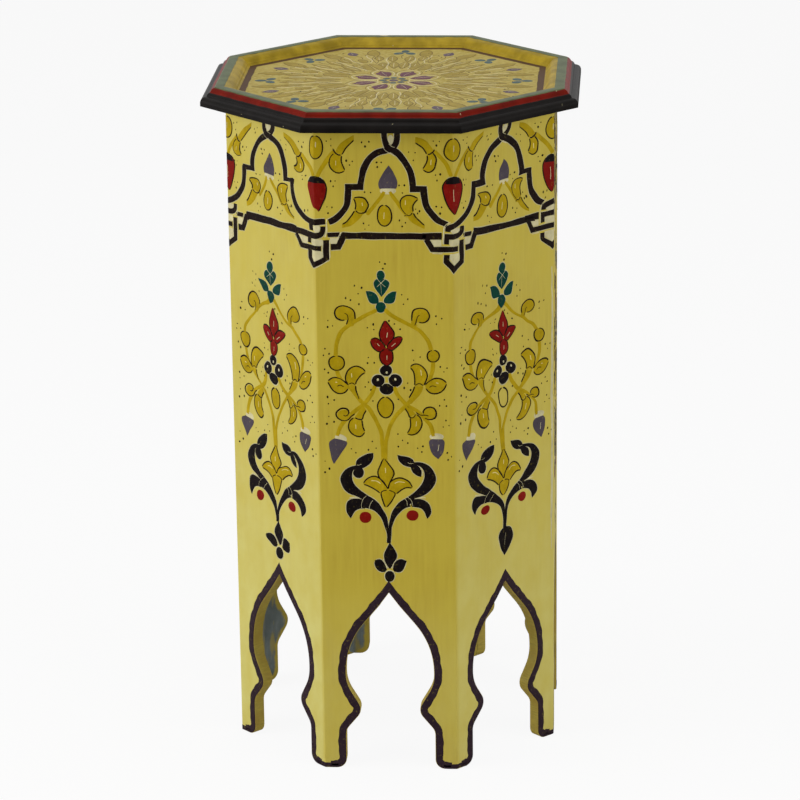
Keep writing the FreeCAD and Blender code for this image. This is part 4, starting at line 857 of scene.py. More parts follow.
# The two knots that take turns on the corners where two boards' straps meet, across
# from the corner: (strokes, leaves of the pale cells between the straps).
KNOTS = [
    ([
        ("strap", None, [(-27.2, 490.6, 4.4), (-26.4, 480, 4.4), (-24.6, 473.5, 4.8),
                         (-21.5, 468.8, 5),
                         (-17.4, 464.8, 5), (-12.5, 461.8, 4.8), (-7, 460.3, 4.8), (-1, 459.8, 4.8),
                         (8.2, 460.2, 4.8)]),
        ("strap", None, [(26.5, 490.6, 4.9), (26.3, 480, 4.9), (24.9, 473.5, 4.7),
                         (21.8, 468.2, 4.8),
                         (17.6, 463.8, 5), (13.6, 461, 5), (10.9, 459.8, 4.6)]),
        ("strap", 4.5, [(-4.2, 459), (-4.2, 452.4)]),
        ("strap", None, [(-24, 449.5, 5.2), (-14, 449.3, 5.1), (-4, 448.8, 4.8), (2, 448.9, 4.6),
                         (4.9, 450.4, 4.4),
                         (6.1, 453, 4.2), (6.2, 456.4, 4.2)]),
        ("strap", None, [(9.6, 449.7, 3.2), (11.6, 449.8, 3.9), (19.4, 449.9, 3.7)]),
        ("strap", 4.7, [(26.5, 449.4), (22.6, 449.3), (22.6, 449.3), (18.3, 440.1), (18.3, 440.1),
                        (12, 439.9)]),
        ("strap", 4.2, [(-22.9, 446.8), (-16.4, 438.6), (-16.4, 438.6), (4.9, 438.6)]),
        ("strap", 4.2, [(-6.4, 448), (-6.4, 442.1)]),
        ("strap", 4.5, [(-6.3, 437), (-6.3, 430.6), (-6.3, 430.6), (-2, 425), (-2, 425),
                        (8.5, 430.4),
                        (8.5, 430.4), (8.6, 445.5)]),
        ("cream", 1.1, [(9.6, 462.8), (9, 458), (9.5, 453.4), (7.6, 447.2)]),
        ("cream", 1.1, [(20.9, 452.4), (18.7, 448.8), (16.4, 444)]),
        ("cream", 0.9, [(5.6, 446), (5.6, 432.4)]), ("cream", 0.9, [(11.3, 446), (11.3, 430.6)]),
        ("cream", 0.8, [(-24, 446.4), (-18.2, 437), (-16.9, 435.9), (-9, 435.8)]),
        ("cream", 0.8, [(11, 429.8), (-1.9, 422.2), (-8.8, 430.2), (-8.9, 435.6)]),
    ], [
        ([(1, 457.4), (-1.6, 456), (-1.8, 453), (0, 451.4)],
         [(1, 457.4), (3.6, 457), (4, 454), (2.4, 451.6)]),
        ([(-19, 446.2), (-16.6, 443), (-15.2, 441)], [(-8.8, 446.2), (-8.8, 443), (-8.8, 441)]),
        ([(-4, 446.2), (-4, 443), (-4, 441)], [(6, 446.2), (6, 443), (6, 441)]),
        ([(11.4, 447.2), (11.6, 444), (12, 442.2)], [(19.6, 447.2), (18, 444), (17, 442.2)]),
        ([(-3.9, 436.4), (-3.9, 432), (-0.8, 428)], [(6, 436.4), (6, 431.6), (-0.4, 428)]),
    ]),
    ([
        ("strap", None, [(-22.5, 489, 5.2), (-22.4, 482, 5.2), (-21.4, 475.6, 5.2),
                         (-18.8, 469.9, 5.2),
                         (-15, 465, 5.2), (-10.6, 461.3, 5), (-4.2, 458.3, 4.6)]),
        ("strap", None, [(21.9, 489.6, 4.9), (21.4, 480, 4.9), (19.8, 473.8, 5), (16.6, 468, 5),
                         (12, 462.9, 5),
                         (6.8, 459.6, 4.8), (1, 457.3, 4.6), (-2, 456.2, 4.6), (-3.9, 454.6, 4.4),
                         (-4.2, 452.4, 4.2)]),
        ("strap", 5.3, [(-24, 449), (-8.8, 449)]),
        ("strap", 4, [(-4.9, 451), (-4.9, 442.4)]),
        ("strap", 4.3, [(-6.8, 448.8), (3, 448.8), (6.8, 449.8), (8.9, 452), (9.3, 456)]),
        ("strap", None, [(10.4, 447.9, 2.8), (12.4, 448.1, 3.8), (19.6, 448.3, 3.6)]),
        ("strap", 4.6, [(26.5, 448), (23, 447.9), (23, 447.9), (18.7, 438), (18.7, 438),
                        (12.5, 437.8)]),
        ("strap", 4.4, [(-20.9, 446.6), (-16.2, 438.3), (-16.2, 438.3), (5.2, 438.3)]),
        ("strap", 4.6, [(-5.2, 434.2), (-5.3, 428.6), (-5.3, 428.6), (0.5, 421.6), (0.5, 421.6),
                        (8.7, 427.4),
                        (8.7, 427.4), (8.6, 444.7)]),
        ("cream", 1.1, [(-1.4, 460.6), (-5, 458.6), (-7, 455.2), (-7.7, 450), (-7.7, 441.6)]),
        ("cream", 1.1, [(22, 450.8), (19.3, 447.4), (17.3, 443.2)]),
        ("cream", 0.9, [(5.9, 445.6), (5.9, 431)]), ("cream", 0.9, [(11.5, 445.4), (11.5, 430)]),
        ("cream", 0.9, [(11.3, 452.6), (11.6, 448), (7, 445.4)]),
        ("cream", 0.9, [(-16.8, 435), (-7.8, 435)]),
    ], [
        ([(2, 455.2), (-1.8, 454.4), (-1.6, 452), (1, 451)],
         [(2, 455.2), (6.4, 455), (6.8, 452.6), (4.6, 451)]),
        ([(-17.4, 446), (-16, 443), (-15, 441)], [(-8.9, 446), (-8.9, 443), (-8.9, 441)]),
        ([(-2.6, 446.2), (-2.6, 443), (-2.6, 441)], [(6.2, 446.2), (6.2, 443), (6.2, 441)]),
        ([(12.2, 445.8), (12.2, 443), (12.2, 440.4)], [(19.2, 445.8), (18, 443), (17, 440.4)]),
        ([(-2.9, 434.9), (-2.9, 431), (0.9, 425.4)], [(6.4, 434.9), (6.4, 428.8), (1.1, 425.4)]),
    ]),
]
# The kind and lean of the knot on the left corner of boards 1 to 8.
CORNERS = [(0, 0), (1, 0), (1, 7.5), (0, 0), (1, 0), (0, 0), (1, 0), (1, 0)]
# Pale lines where the two upper straps cross.
CREAM_CROSSING = [[(-0.4, 521), (3, 517.2), (9.6, 512.6)], [(4, 523.4), (6.6, 521), (9.6, 519.6)]]
# Paint worn along a corner that leans: across, up and width.
WORN_CORNER = [
    (-2.6, 164, 0.6), (-2.2, 205, 2.4), (-1.8, 250, 2.2), (-2.1, 300, 2.8), (-1.7, 352, 2),
    (-2, 405, 1),
]
# Share of the lean at these heights of a knot.
LEAN_HEIGHTS, LEAN_SHARES = [421, 430, 455, 475], [0.3, 1, 1, 0.6]
# Bud and oval on a corner, above the knot.
BUDS = [
    {
        "leaves": [
            ("red", "r", [(0.5, 496), (-5.5, 494), (-8.1, 488.6), (-6.7, 482), (-4.2, 476),
                          (-1.4, 471.6), (0.8, 471.8)],
             [(0.5, 496), (6.5, 494), (9.5, 487.6), (8.6, 480), (6, 474.6), (2.8, 468.2)]),
            ("black", "", [(0.6, 497), (-4.6, 495.4), (-8.1, 490.8)],
             [(0.6, 497), (6, 495.2), (9, 490.4)]),
        ],
        "oval": (1.3, 519.6, 5.9, 9.1), "touch": [(1.8, 524.4), (1.6, 519)], "red_touch": None,
    },
    {
        "leaves": [
            ("red", "lr", [(1, 496), (-4.6, 494), (-7.8, 488.4), (-6.8, 481), (-4.4, 474.6),
                           (-1.8, 470), (2.2, 465.6)],
             [(1, 496), (6.6, 494), (9.7, 488), (8.8, 480.4), (6.4, 474), (4.4, 469.6),
              (2.2, 465.6)]),
            ("black", "", [(1, 496.8), (-4, 495.2), (-6.8, 490.2)],
             [(1, 496.8), (6, 495), (8.6, 489.8)]),
        ],
        "oval": (0.7, 517.6, 7.1, 8.7), "touch": [(1.2, 522), (1, 515.6)],
        "red_touch": [(0.6, 487.6), (0.8, 475.4)],
    },
]


def cut_at_corners(points, faces):
    """The strip cut along each corner, half way round it and where it starts, so
    that the paint bends there: planes s = corner, and half and whole slack off."""
    shape = bmesh.new()
    corners = [shape.verts.new(point) for point in points]
    for face in faces:
        shape.faces.new([corners[i] for i in face])
    slack = corner_slack()
    low, high = points[:, 0].min(), points[:, 0].max()
    for corner in (np.arange(-1, SIDES + 1) + 0.5) * WIDTH:
        for share in (-1, -0.5, 0, 0.5, 1):
            place = corner + share * slack
            if low < place < high:
                geometry = shape.verts[:] + shape.edges[:] + shape.faces[:]
                bmesh.ops.bisect_plane(
                    shape, geom=geometry, dist=1e-5, plane_co=(place, 0, 0), plane_no=(1, 0, 0)
                )
    shape.verts.index_update()
    points = np.array([vertex.co[:] for vertex in shape.verts])
    faces = [[vertex.index for vertex in face.verts] for face in shape.faces]
    shape.free()
    return points, faces


def make_piece(name, points, faces, paints, which=None, smooth=SHARP_ANGLE):
    """A mesh piece with its points in millimetres, riding on the table's body;
    which gives each face's paint, and an edge turned by more than smooth degrees
    stays sharp."""
    mesh = bpy.data.meshes.new(name)
    mesh.from_pydata((np.asarray(points) * MM).tolist(), [], [tuple(face) for face in faces])
    for paint in paints:
        mesh.materials.append(paint)
    if which is not None:
        mesh.polygons.foreach_set("material_index", np.asarray(which, np.int32))
    mesh.polygons.foreach_set("use_smooth", np.ones(len(mesh.polygons), bool))
    mesh.set_sharp_from_angle(angle=math.radians(smooth))
    piece = bpy.data.objects.new(name, mesh)
    bpy.context.scene.collection.objects.link(piece)
    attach(piece, BODY)
    return piece


def close_seams(piece):
    """Merge a closed piece's doubles and turn its faces outwards."""
    shape = bmesh.new()
    shape.from_mesh(piece.data)
    bmesh.ops.remove_doubles(shape, verts=shape.verts[:], dist=2e-6)
    bmesh.ops.dissolve_degenerate(shape, edges=shape.edges[:], dist=1e-7)
    bmesh.ops.recalc_face_normals(shape, faces=shape.faces[:])
    shape.to_mesh(piece.data)
    shape.free()
    piece.data.set_sharp_from_angle(angle=math.radians(SHARP_ANGLE))


def node_points(node):
    """A CAD node's points in millimetres, in the place they have in the table."""
    mesh = bpy.data.objects[node].data
    points = np.empty(len(mesh.vertices) * 3)
    mesh.vertices.foreach_get("co", points)
    return points.reshape(-1, 3) / MM


# Spacing of the rows round an arch, in mm.
SAWN_STEP = 1.8


def sawn_outline(side):
    """Right half of the arch of one board, from its foot up to its point: the CAD
    board's corners on its outside face, spaced evenly along the outline."""
    points = node_points(f"side_board_{side}")
    turn = (side - 1) * TURN
    across = points[:, 0] * math.cos(turn) + points[:, 1] * math.sin(turn)
    out = points[:, 0] * math.sin(turn) - points[:, 1] * math.cos(turn)
    outside = np.abs(out - APOTHEM) < 0.02
    peak = points[outside & (np.abs(across) < 0.05) & (points[:, 2] < 0.4 * BOARD_TOP)]
    chosen = outside & (across > -0.01) & (across < HALF - 5)
    chosen &= points[:, 2] < peak[:, 2].max() + 0.01
    outline = np.unique(np.round(np.column_stack([across, points[:, 2]])[chosen], 2), axis=0)
    outline = outline[np.argsort(outline[:, 1])]
    run = way_along(outline)
    count = math.ceil(run[-1] / SAWN_STEP) + 1
    return at_stations(outline, run, np.linspace(0, run[-1], count))


def offset_outline(outline, far):
    """The outline moved into the wood: point + far n, where n is the mean normal
    lengthened at a turn; at the point of the arch n stands straight up."""
    ahead = units(np.diff(outline, axis=0))
    mean, straight = at_turns(
        np.vstack([[-1, 0], ahead]), np.vstack([ahead, ahead[-1] * (1, -1)])
    )
    normal = np.column_stack([mean[:, 1], -mean[:, 0]])
    return outline + far * normal / np.maximum(straight, 0.35)[:, None]


def grid_faces(index):
    """Faces of a grid of point numbers."""
    faces = np.stack([index[:-1, :-1], index[:-1, 1:], index[1:, 1:], index[1:, :-1]], -1)
    return faces.reshape(-1, 4)


def board_shape(side):
    """One side board as a closed shape: right half, then the same mirrored.

    Front and back are one grid each, rows up the board and columns from the arch
    to the corner: u = edge + (corner - edge) t. The corner's last columns turn on
    its round. Their borders are joined along the arch by a strip that leaves the
    front on a quarter round, out = face - r + r sin a with r cos a into the wood,
    and by plain strips along the mitre and the top. Besides the points, the faces
    and each face's paint it gives each point's distance from the arch."""
    radius, slack = sizes().arch_round, corner_slack()
    sawn = sawn_outline(side)
    eased = offset_outline(sawn, radius)
    eased[-1, 0] = 0
    above = np.linspace(eased[-1, 1], BOARD_TOP, 26)[1:]
    rows = np.vstack([eased, np.column_stack([np.zeros_like(above), above])])
    near = 0.35
    t = np.linspace(0, 1, 8)
    flat = rows[:, :1] + near + (HALF - slack - near - rows[:, :1] - near) * t
    columns = np.hstack([rows[:, :1], flat, np.full((len(rows), 1), HALF - slack)])
    arc = HALF - slack + slack * np.array([[1 / 3, 2 / 3, 1]])
    along = np.hstack([columns, np.repeat(arc, len(rows), 0)])
    front = np.dstack([along, np.repeat(rows[:, 1:], along.shape[1], 1), np.zeros_like(along)])
    shape = front.shape
    front = wrap(front.reshape(-1, 3)).reshape(shape)
    back_half = (INSIDE * math.tan(HALF_TURN) - rows[:, :1]) / (HALF - rows[:, :1])
    inner = rows[:, :1] + (along - rows[:, :1]) * back_half
    back = np.dstack([inner, np.full_like(inner, -INSIDE), front[:, :, 2]])
    # the arch's border: along the foot from the corner, then up the outline
    foot_front, foot_back = front[0, ::-1], back[0, ::-1]
    front_run = np.vstack([foot_front, front[1:len(sawn), 0]])
    back_run = np.vstack([foot_back, back[1:len(sawn), 0]])
    inward = np.vstack([
        np.tile([0, -radius], (len(foot_front), 1)), sawn[1:] - eased[1:],
    ])
    sheets = [front_run]
    for angle in np.radians([30, 60, 90]):
        ring = front_run.copy()
        ring[:, [0, 2]] += inward * (1 - math.cos(angle))
        depth = radius * math.sin(angle)
        ring[:len(foot_front), 0] *= 1 - depth / APOTHEM * (foot_front[:, 0] > HALF - 2)
        ring[:, 1] += depth
        sheets.append(ring)
    for angle in np.radians([90, 60, 30, 0]):
        ring = back_run.copy()
        ring[:, [0, 2]] += inward * (1 - math.cos(angle))
        ring[:, 1] -= radius * math.sin(angle)
        sheets.append(ring)
    sheets = np.stack(sheets)
    parts = [(front, 0), (back, 2), (sheets, 1),
             (np.stack([front[:, -1], back[:, -1]]), 1), (np.stack([front[-1], back[-1]]), 1)]
    points, faces, which = [], [], []
    start = 0
    for mirror in (1, -1):
        for part, paint in parts:
            count = part.shape[0] * part.shape[1]
            points.append(part.reshape(-1, 3) * (mirror, 1, 1))
            faces.append(grid_faces(np.arange(count).reshape(part.shape[:2])) + start)
            which.append(np.full(len(faces[-1]), paint))
            start += count
    points = np.vstack(points)
    points[:, 2] = np.maximum(points[:, 2], 0)
    folded = np.abs(points[:, [0, 2]])
    margin = np.concatenate([
        np.linalg.norm(some[:, None] - sawn[None, ::2], axis=2).min(axis=1)
        for some in np.array_split(folded, 1 + len(folded) // 4000)
    ])
    return points, np.vstack(faces), np.concatenate(which), margin


def turned_points(points, side):
    """Points of board 1 turned to another side about the table's axis."""
    return points @ about_axis((side - 1) * TURN)


def board_painting(with_drop):
    """Every stroke of one board's pattern but the corner knots; with_drop closes
    it above the arch with one hanging leaf in place of three."""
    painting = Painting()
    painting.strokes(STEMS)
    painting.leaves(LEAVES + [PALMETTE_BASE] + ([LEAF_DROP] if with_drop else FLEUR))
    painting.strokes(STROKES)
    for paint, is_lined, place in DISCS:
        painting.disc(paint, place, is_lined)
    painting.disc(None if with_drop else "gold", OVAL, True)
    if not with_drop:
        painting.disc("black", FLEUR_BALL)
    for points in LINES:
        painting.line(points)
    for points in (DROP_TOUCHES if with_drop else FLEUR_TOUCHES) + CREAM_CROSSING:
        painting.stroke("cream", 0.8, points)
    for points in TOUCHES:
        painting.stroke("light", 1.4, points)
    painting.dots(DOTS)
    return painting


def knot_painting(kind, lean=0):
    """Strokes that go round a corner: the knot, the bud over it and the oval. Left of
    the corner the knot leans out by lean (8 - c) / 11, between none and the whole
    lean, less so at its top and its foot; the bud moves by 0.6 lean, the oval 0.27."""
    painting, budding, oval = Painting(), Painting(), Painting()
    bud = BUDS[kind]
    strokes, cells = KNOTS[kind]
    for cell in cells:
        painting.leaf("cell", *cell)
    painting.strokes(strokes)
    for strips in painting.paints.values():
        for points, _ in strips:
            share = np.interp(points[:, 1], LEAN_HEIGHTS, LEAN_SHARES)
            points[:, 0] -= lean * share * np.clip((8 - points[:, 0]) / 11, 0, 1)
    budding.leaves(bud["leaves"])
    if bud["red_touch"]:
        budding.stroke("cream", 1.4, bud["red_touch"])
    oval.disc("gold", bud["oval"], True)
    oval.stroke("cream", 1.3, bud["touch"])
    painting.take(budding.shifted(-0.6 * lean))
    painting.take(oval.shifted(-0.27 * lean))
    if lean:
        painting.stroke("halo", None, WORN_CORNER)
    painting.stroke("band", 4.2, [(-11, 2.5), (11, 2.5)], blunt=True)
    return painting


def arch_band(side):
    """The band round one arch, 6.5 mm wide: between two offsets of the sawn outline,
    the right half and then the left half, wavering a little on its outer border."""
    outline = sawn_outline(side)
    foot = np.column_stack([np.linspace(HALF - 4, outline[0, 0] + 1, 5), np.zeros(5)])
    outline = np.vstack([foot, outline])
    radius = sizes().arch_round
    near, far = offset_outline(outline, 0.75 * radius), offset_outline(outline, 6.5)
    run = np.linspace(0, 40, len(far))
    far += (near - far) * (0.05 * np.sin(run * 1.3 + side) + 0.04 * np.sin(run * 2.9))[:, None]
    near[-1, 0] = far[-1, 0] = 0
    far[:, 1] = np.maximum(far[:, 1], 0.4)
    both = [np.vstack([half, half[-2::-1] * (-1, 1)]) for half in (near, far)]
    painting = Painting()
    painting.add("band", *both)
    return painting


def whole_painting():
    """All paint on the outside of the boards, laid on them: paint to points and faces."""
    patterns = {False: board_painting(False), True: board_painting(True)}
    panels, corners, bands = Painting(), Painting(), Painting()
    for side in range(1, SIDES + 1):
        source, sign = source_of(side)
        pattern = patterns[source == 2]
        if sign < 0:
            pattern = pattern.mirrored()
        panels.take(pattern.shifted((side - 1) * WIDTH))
        corners.take(knot_painting(*CORNERS[side - 1]).shifted((side - 1.5) * WIDTH))
        bands.take(arch_band(side).shifted((side - 1) * WIDTH))
    laid = {}
    for store in (panels, corners, bands):
        for paint, strips in store.paints.items():
            points, faces = joined(strips)
            if store is panels:
                points = strayed(points)
            if store is not bands:
                points = wobbled(points)
            if store is corners:
                points, faces = cut_at_corners(points, faces)
            laid.setdefault(paint, []).append((wrap(points), [list(face) for face in faces]))
    whole = {}
    for paint, parts in laid.items():
        starts = np.cumsum([0] + [len(points) for points, _ in parts])
        whole[paint] = np.vstack([points for points, _ in parts]), [
            [i + start for i in face] for (_, faces), start in zip(parts, starts) for face in faces
        ]
    return whole


# ------------------------------------------------------------ rim and deck


def bow(start, end, sag, count):
    """Shallow arc between two points: start + (end - start)t, moved to the left
    of the way by 4 sag t (1 - t)."""
    t = np.linspace(0, 1, count)[:, None]
    start, end = np.array(start, float), np.array(end, float)
    way = end - start
    left = np.array([-way[1], way[0]]) / np.linalg.norm(way)
    return start + way * t + left * 4 * sag * t * (1 - t)


def rim_profile():
    """Section of the rim as (out from the axis, up), round from the seat on the
    board, up over the nose and the hollows, and down the cove to the deck, with
    the way along the painted part for every point."""
    seat, under, nose = APOTHEM + 0.1, RIM_TOP - 14.5, 149.2
    parts = [
        [(seat, under)], bow((149.0, under), (nose, under + 0.3), -0.05, 3), [(nose, 538.6)],
        bow((nose, 538.7), (144.75, 542.88), -1.15, 11),
        bow((144.6, 542.93), (144.1, 543.12), 0, 2),
        bow((144.0, 543.2), (141.75, 546.0), -0.5, 8),
        bow((141.68, 546.12), (141.3, 546.36), -0.05, 3),
        bow((141.2, 546.42), (137.9, 549.75), -0.5, 9),
        bow((137.78, 549.9), (137.5, 550), -0.03, 3),
        bow((130.7, 550), (130.5, 549.88), -0.03, 3),
        bow((130.3, 549.6), (123.6, 545.32), -1.1, 11),
        [(123.4, 545.22), (123.0, 544.8)],
        bow((122.9, 544.75), (120.85, 543.1), 0.55, 8),
        [(120.8, DECK_TOP + 0.1), (seat, DECK_TOP + 0.1)],
    ]
    profile = np.vstack([np.array(part, float) for part in parts])
    profile[:, 1] = np.minimum(profile[:, 1], RIM_TOP)
    run = way_along(profile)
    start = run[np.argmin(np.abs(profile[:, 0] - nose) + np.abs(profile[:, 1] - under))]
    return profile, run - start


def rim_shape(columns=9):
    """One side of the rim: the section carried along the side, x = out tan 22.5
    times a share from -1 to 1, so both ends are mitred; the ends are closed."""
    profile, run = rim_profile()
    share = np.linspace(-1, 1, columns)[:, None]
    x = share * profile[None, :, 0] * math.tan(HALF_TURN)
    points = np.dstack([
        x, np.tile(-profile[:, 0], (columns, 1)), np.tile(profile[:, 1], (columns, 1)),
    ])
    count = len(profile)
    index = np.arange(columns * count).reshape(columns, count)
    index = np.hstack([index, index[:, :1]])
    faces = [list(face) for face in grid_faces(index)]
    faces += [list(index[0, :-1]), list(index[-1, -2::-1])]
    across = np.tile(run, columns)
    return points.reshape(-1, 3), faces, across


def deck_painting():
    """The faded ornament of the deck: rings of petals, trefoils, leaves and drops,
    each drawn once and turned round the middle; across and away from the front."""
    painting = Painting()
    random = np.random.default_rng(sizes().seed + 3)

    def ring(strokes, first=0.0):
        for i in range(SIDES):
            painting.take(strokes.turned(first + TURN * i + random.normal(0, 0.012)))

    petal = Painting("vine")
    petal.leaf("petal", [(14, 0), (18, -3.6), (24, -6.2), (29, -6.4), (31, -3.4), (35.5, 0)],
               [(14, 0), (18, 3.6), (24, 6.2), (29, 6.4), (31, 3.4), (35.5, 0)])
    for side in (1, -1):
        petal.stroke("pale", 1.3, [(12.5, 0), (16.5, 5 * side), (23, 8 * side), (30, 8.4 * side),
                                   (35, 5 * side), (38.5, 0)])
        petal.stroke("vine", 0.9, [(21, 9.6 * side), (28, 10.4 * side), (36, 7.6 * side),
                                   (41, 1 * side)])
    petal.stroke("pale", 0.9, [(17, 0), (24, 0.5), (33, 0)])
    ring(petal, HALF_TURN)
    heart = Painting("vine")
    heart.disc("teal_grey", (8.6, 0, 2.9, 2.6), True)
    heart.stroke("pale", 0.9, [(12.2, -2.8), (12.9, 0), (12.2, 2.8)])
    ring(heart)
    painting.disc("purple_grey", (0, 0, 3.8, 3.8))
    trefoil = Painting("vine")
    trefoil.disc("teal_grey", (107, 0, 5, 3.2))
    trefoil.disc("teal_grey", (99, -5, 4.8, 3.4, 50))
    trefoil.disc("teal_grey", (99, 5, 4.8, 3.4, -50))
    trefoil.stroke("vine", 1.3, [(95, 0), (88, 1.6), (80, 0)])
    ring(trefoil)
    drop = Painting("vine")
    drop.leaf("purple_grey", [(111, 0), (106, -3.8), (101, -4.3), (96, 0)],
              [(111, 0), (106, 3.8), (101, 4.3), (96, 0)])
    drop.stroke("pale", 0.9, [(108, 0), (100, 0.4)])
    drop.stroke("vine", 1.3, [(96, 0), (90, -3), (83, -2)])
    ring(drop, HALF_TURN)
    curl = Painting("vine")
    for side in (1, -1):
        for near, out, far, width in (
            (42, 3, 70, 6.2), (47, 12, 66, 5.4), (67, 6, 92, 5.6), (70, 17, 90, 5),
        ):
            middle = (near + far) / 2
            root, tip = (near, out * side), (far, (out + 2) * side)
            curl.leaf("olive", [root, (middle, (out - width / 2) * side), tip],
                      [root, (middle, (out + width / 2 + 2) * side), tip], "lr")
            curl.stroke("pale", 1.1, [(near + 4, (out + 0.6) * side), (middle, (out + 1.4) * side),
                                      (far - 6, (out + 1.6) * side)])
        curl.stroke("pale", 1.2, [(40, 8 * side), (50, 9.5 * side), (62, 9 * side), (74, 12 * side),
                                  (84, 11 * side)])
        curl.stroke("vine", 1.1, [(60, 18 * side), (68, 21 * side), (79, 24 * side),
                                  (90, 23 * side), (94, 29 * side), (88, 31 * side)])
    ring(curl)
    tuft = Painting("vine")
    for side in (1, -1):
        tuft.leaf("olive", [(40, 2 * side), (47, 8.4 * side), (58, 7 * side), (64, 1 * side)],
                  [(40, 2 * side), (47, 1.4 * side), (56, 1 * side), (64, 1 * side)], "lr")
        tuft.leaf("olive", [(88, 16 * side), (97, 12 * side), (106, 15 * side), (113, 22 * side)],
                  [(88, 16 * side), (95, 21 * side), (104, 23 * side), (113, 22 * side)], "lr")
        tuft.stroke("pale", 1.2, [(66, 3 * side), (76, 8 * side), (88, 8 * side), (96, 10 * side)])
        tuft.stroke("vine", 1.1, [(64, 8 * side), (72, 12 * side), (82, 12 * side),
                                  (87, 15 * side)])
    tuft.disc("olive", (76, 0, 6.5, 3.4), True)
    ring(tuft, HALF_TURN)
    far, angle = random.uniform([14, 0], [112, 2 * math.pi], (70, 2)).T
    specks = np.sqrt(far * 112)[:, None] * np.column_stack([np.cos(angle), np.sin(angle)])
    painting.dots([tuple(place) for place in specks])
    return painting


# ---------------------------------------------------------------- finishes


def add(tree, kind, values=None, **settings):
    """A node of one kind. The settings are its own properties, and the values fill
    its sockets: another node's socket is linked, and anything else is set."""
    node = tree.nodes.new("ShaderNode" + kind)
    for name, value in settings.items():
        setattr(node, name, value)
    for name, value in (values or {}).items():
        if isinstance(value, bpy.types.NodeSocket):
            tree.links.new(value, node.inputs[name])
        else:
            node.inputs[name].default_value = value
    return node


def start_finish(name):
    """A new material with its shader, its tree, and the table's own coordinates."""
    material = bpy.data.materials.new(name)
    material.use_nodes = True
    tree = material.node_tree
    tree.nodes.clear()
    shader = add(tree, "BsdfPrincipled")
    add(tree, "OutputMaterial", {"Surface": shader.outputs["BSDF"]})
    return material, tree, shader, add(tree, "TexCoord").outputs["Object"]


def end_finish(material, shader, body, roughness, height, depth, gloss=0.5):
    """The material with its colour, roughness and gloss, and a bump of the height
    share over the depth in mm."""
    tree = material.node_tree
    tree.links.new(body, shader.inputs["Base Color"])
    shader.inputs["Roughness"].default_value = roughness
    shader.inputs["Specular IOR Level"].default_value = gloss
    bump = add(tree, "Bump", {"Height": height, "Distance": depth * MM, "Strength": 1.0})
    tree.links.new(bump.outputs["Normal"], shader.inputs["Normal"])
    return material


def full(rgb):
    """The colour with its fourth value."""
    return (*rgb, 1)


def shade(rgb, share):
    """A share of a colour."""
    return tuple(share * c for c in rgb)


def blend(tree, share, first, second):
    """Colour (1 - share) first + share second; each is a socket or a plain colour."""
    first, second = (full(c) if isinstance(c, tuple) else c for c in (first, second))
    node = add(tree, "Mix", {0: share, 6: first, 7: second}, data_type="RGBA")
    return node.outputs[2]


def reckon(tree, operation, *values):
    """Outcome of one sum on the values."""
    return add(tree, "Math", dict(enumerate(values)), operation=operation).outputs[0]


def ramp(tree, value, start, end, low=0.0, high=1.0):
    """Goes from low to high as the value goes from start to end."""
    return add(tree, "MapRange", {
        "Value": value, "From Min": start, "From Max": end, "To Min": low, "To Max": high,
    }).outputs["Result"]


def mottle(tree, place, spacing, low=0.35, high=0.65, detail=3.0, stretch=(1, 1, 1)):
    """Share from 0 to 1 of a noise whose waves are the spacing apart, in mm,
    longer along each axis by the stretch; it leaves 0 at low and gets to 1 at high."""
    scale = tuple(1 / (spacing * MM * s) for s in stretch)
    spot = add(tree, "Mapping", {"Vector": place, "Scale": scale}).outputs["Vector"]
    noise = add(tree, "TexNoise", {"Vector": spot, "Scale": 1.0, "Detail": detail})
    return ramp(tree, noise.outputs["Fac"], low, high)


def brushed_paint(name, paint, under, wear, roughness):
    """Oil paint laid in one stroke with a round brush and worn thin: the colour
    swells darker and lighter every 9 mm, the ground grins through in specks where
    the film broke, and the hairs of the brush leave ridges 0.8 mm apart, coarser
    than real ones so that they show."""
    material, tree, shader, place = start_finish(name)
    pale = tuple(min(1, c * 1.22 + 0.006) for c in paint)
    body = blend(tree, mottle(tree, place, 9, 0.3, 0.7), shade(paint, 0.75), pale)
    body = blend(tree, mottle(tree, place, 1.5, 0.3, 0.7, 2.0, (1, 1, 3)), body, paint)
    thin = reckon(tree, "MULTIPLY", mottle(tree, place, 2.2, 0.6, 0.72, 6.0), wear)
    ridges = mottle(tree, place, 0.8, 0.2, 0.8, 3.0, (1, 1, 2))
    return end_finish(
        material, shader, blend(tree, thin, body, under), roughness, ridges, 0.06, gloss=0.05
    )


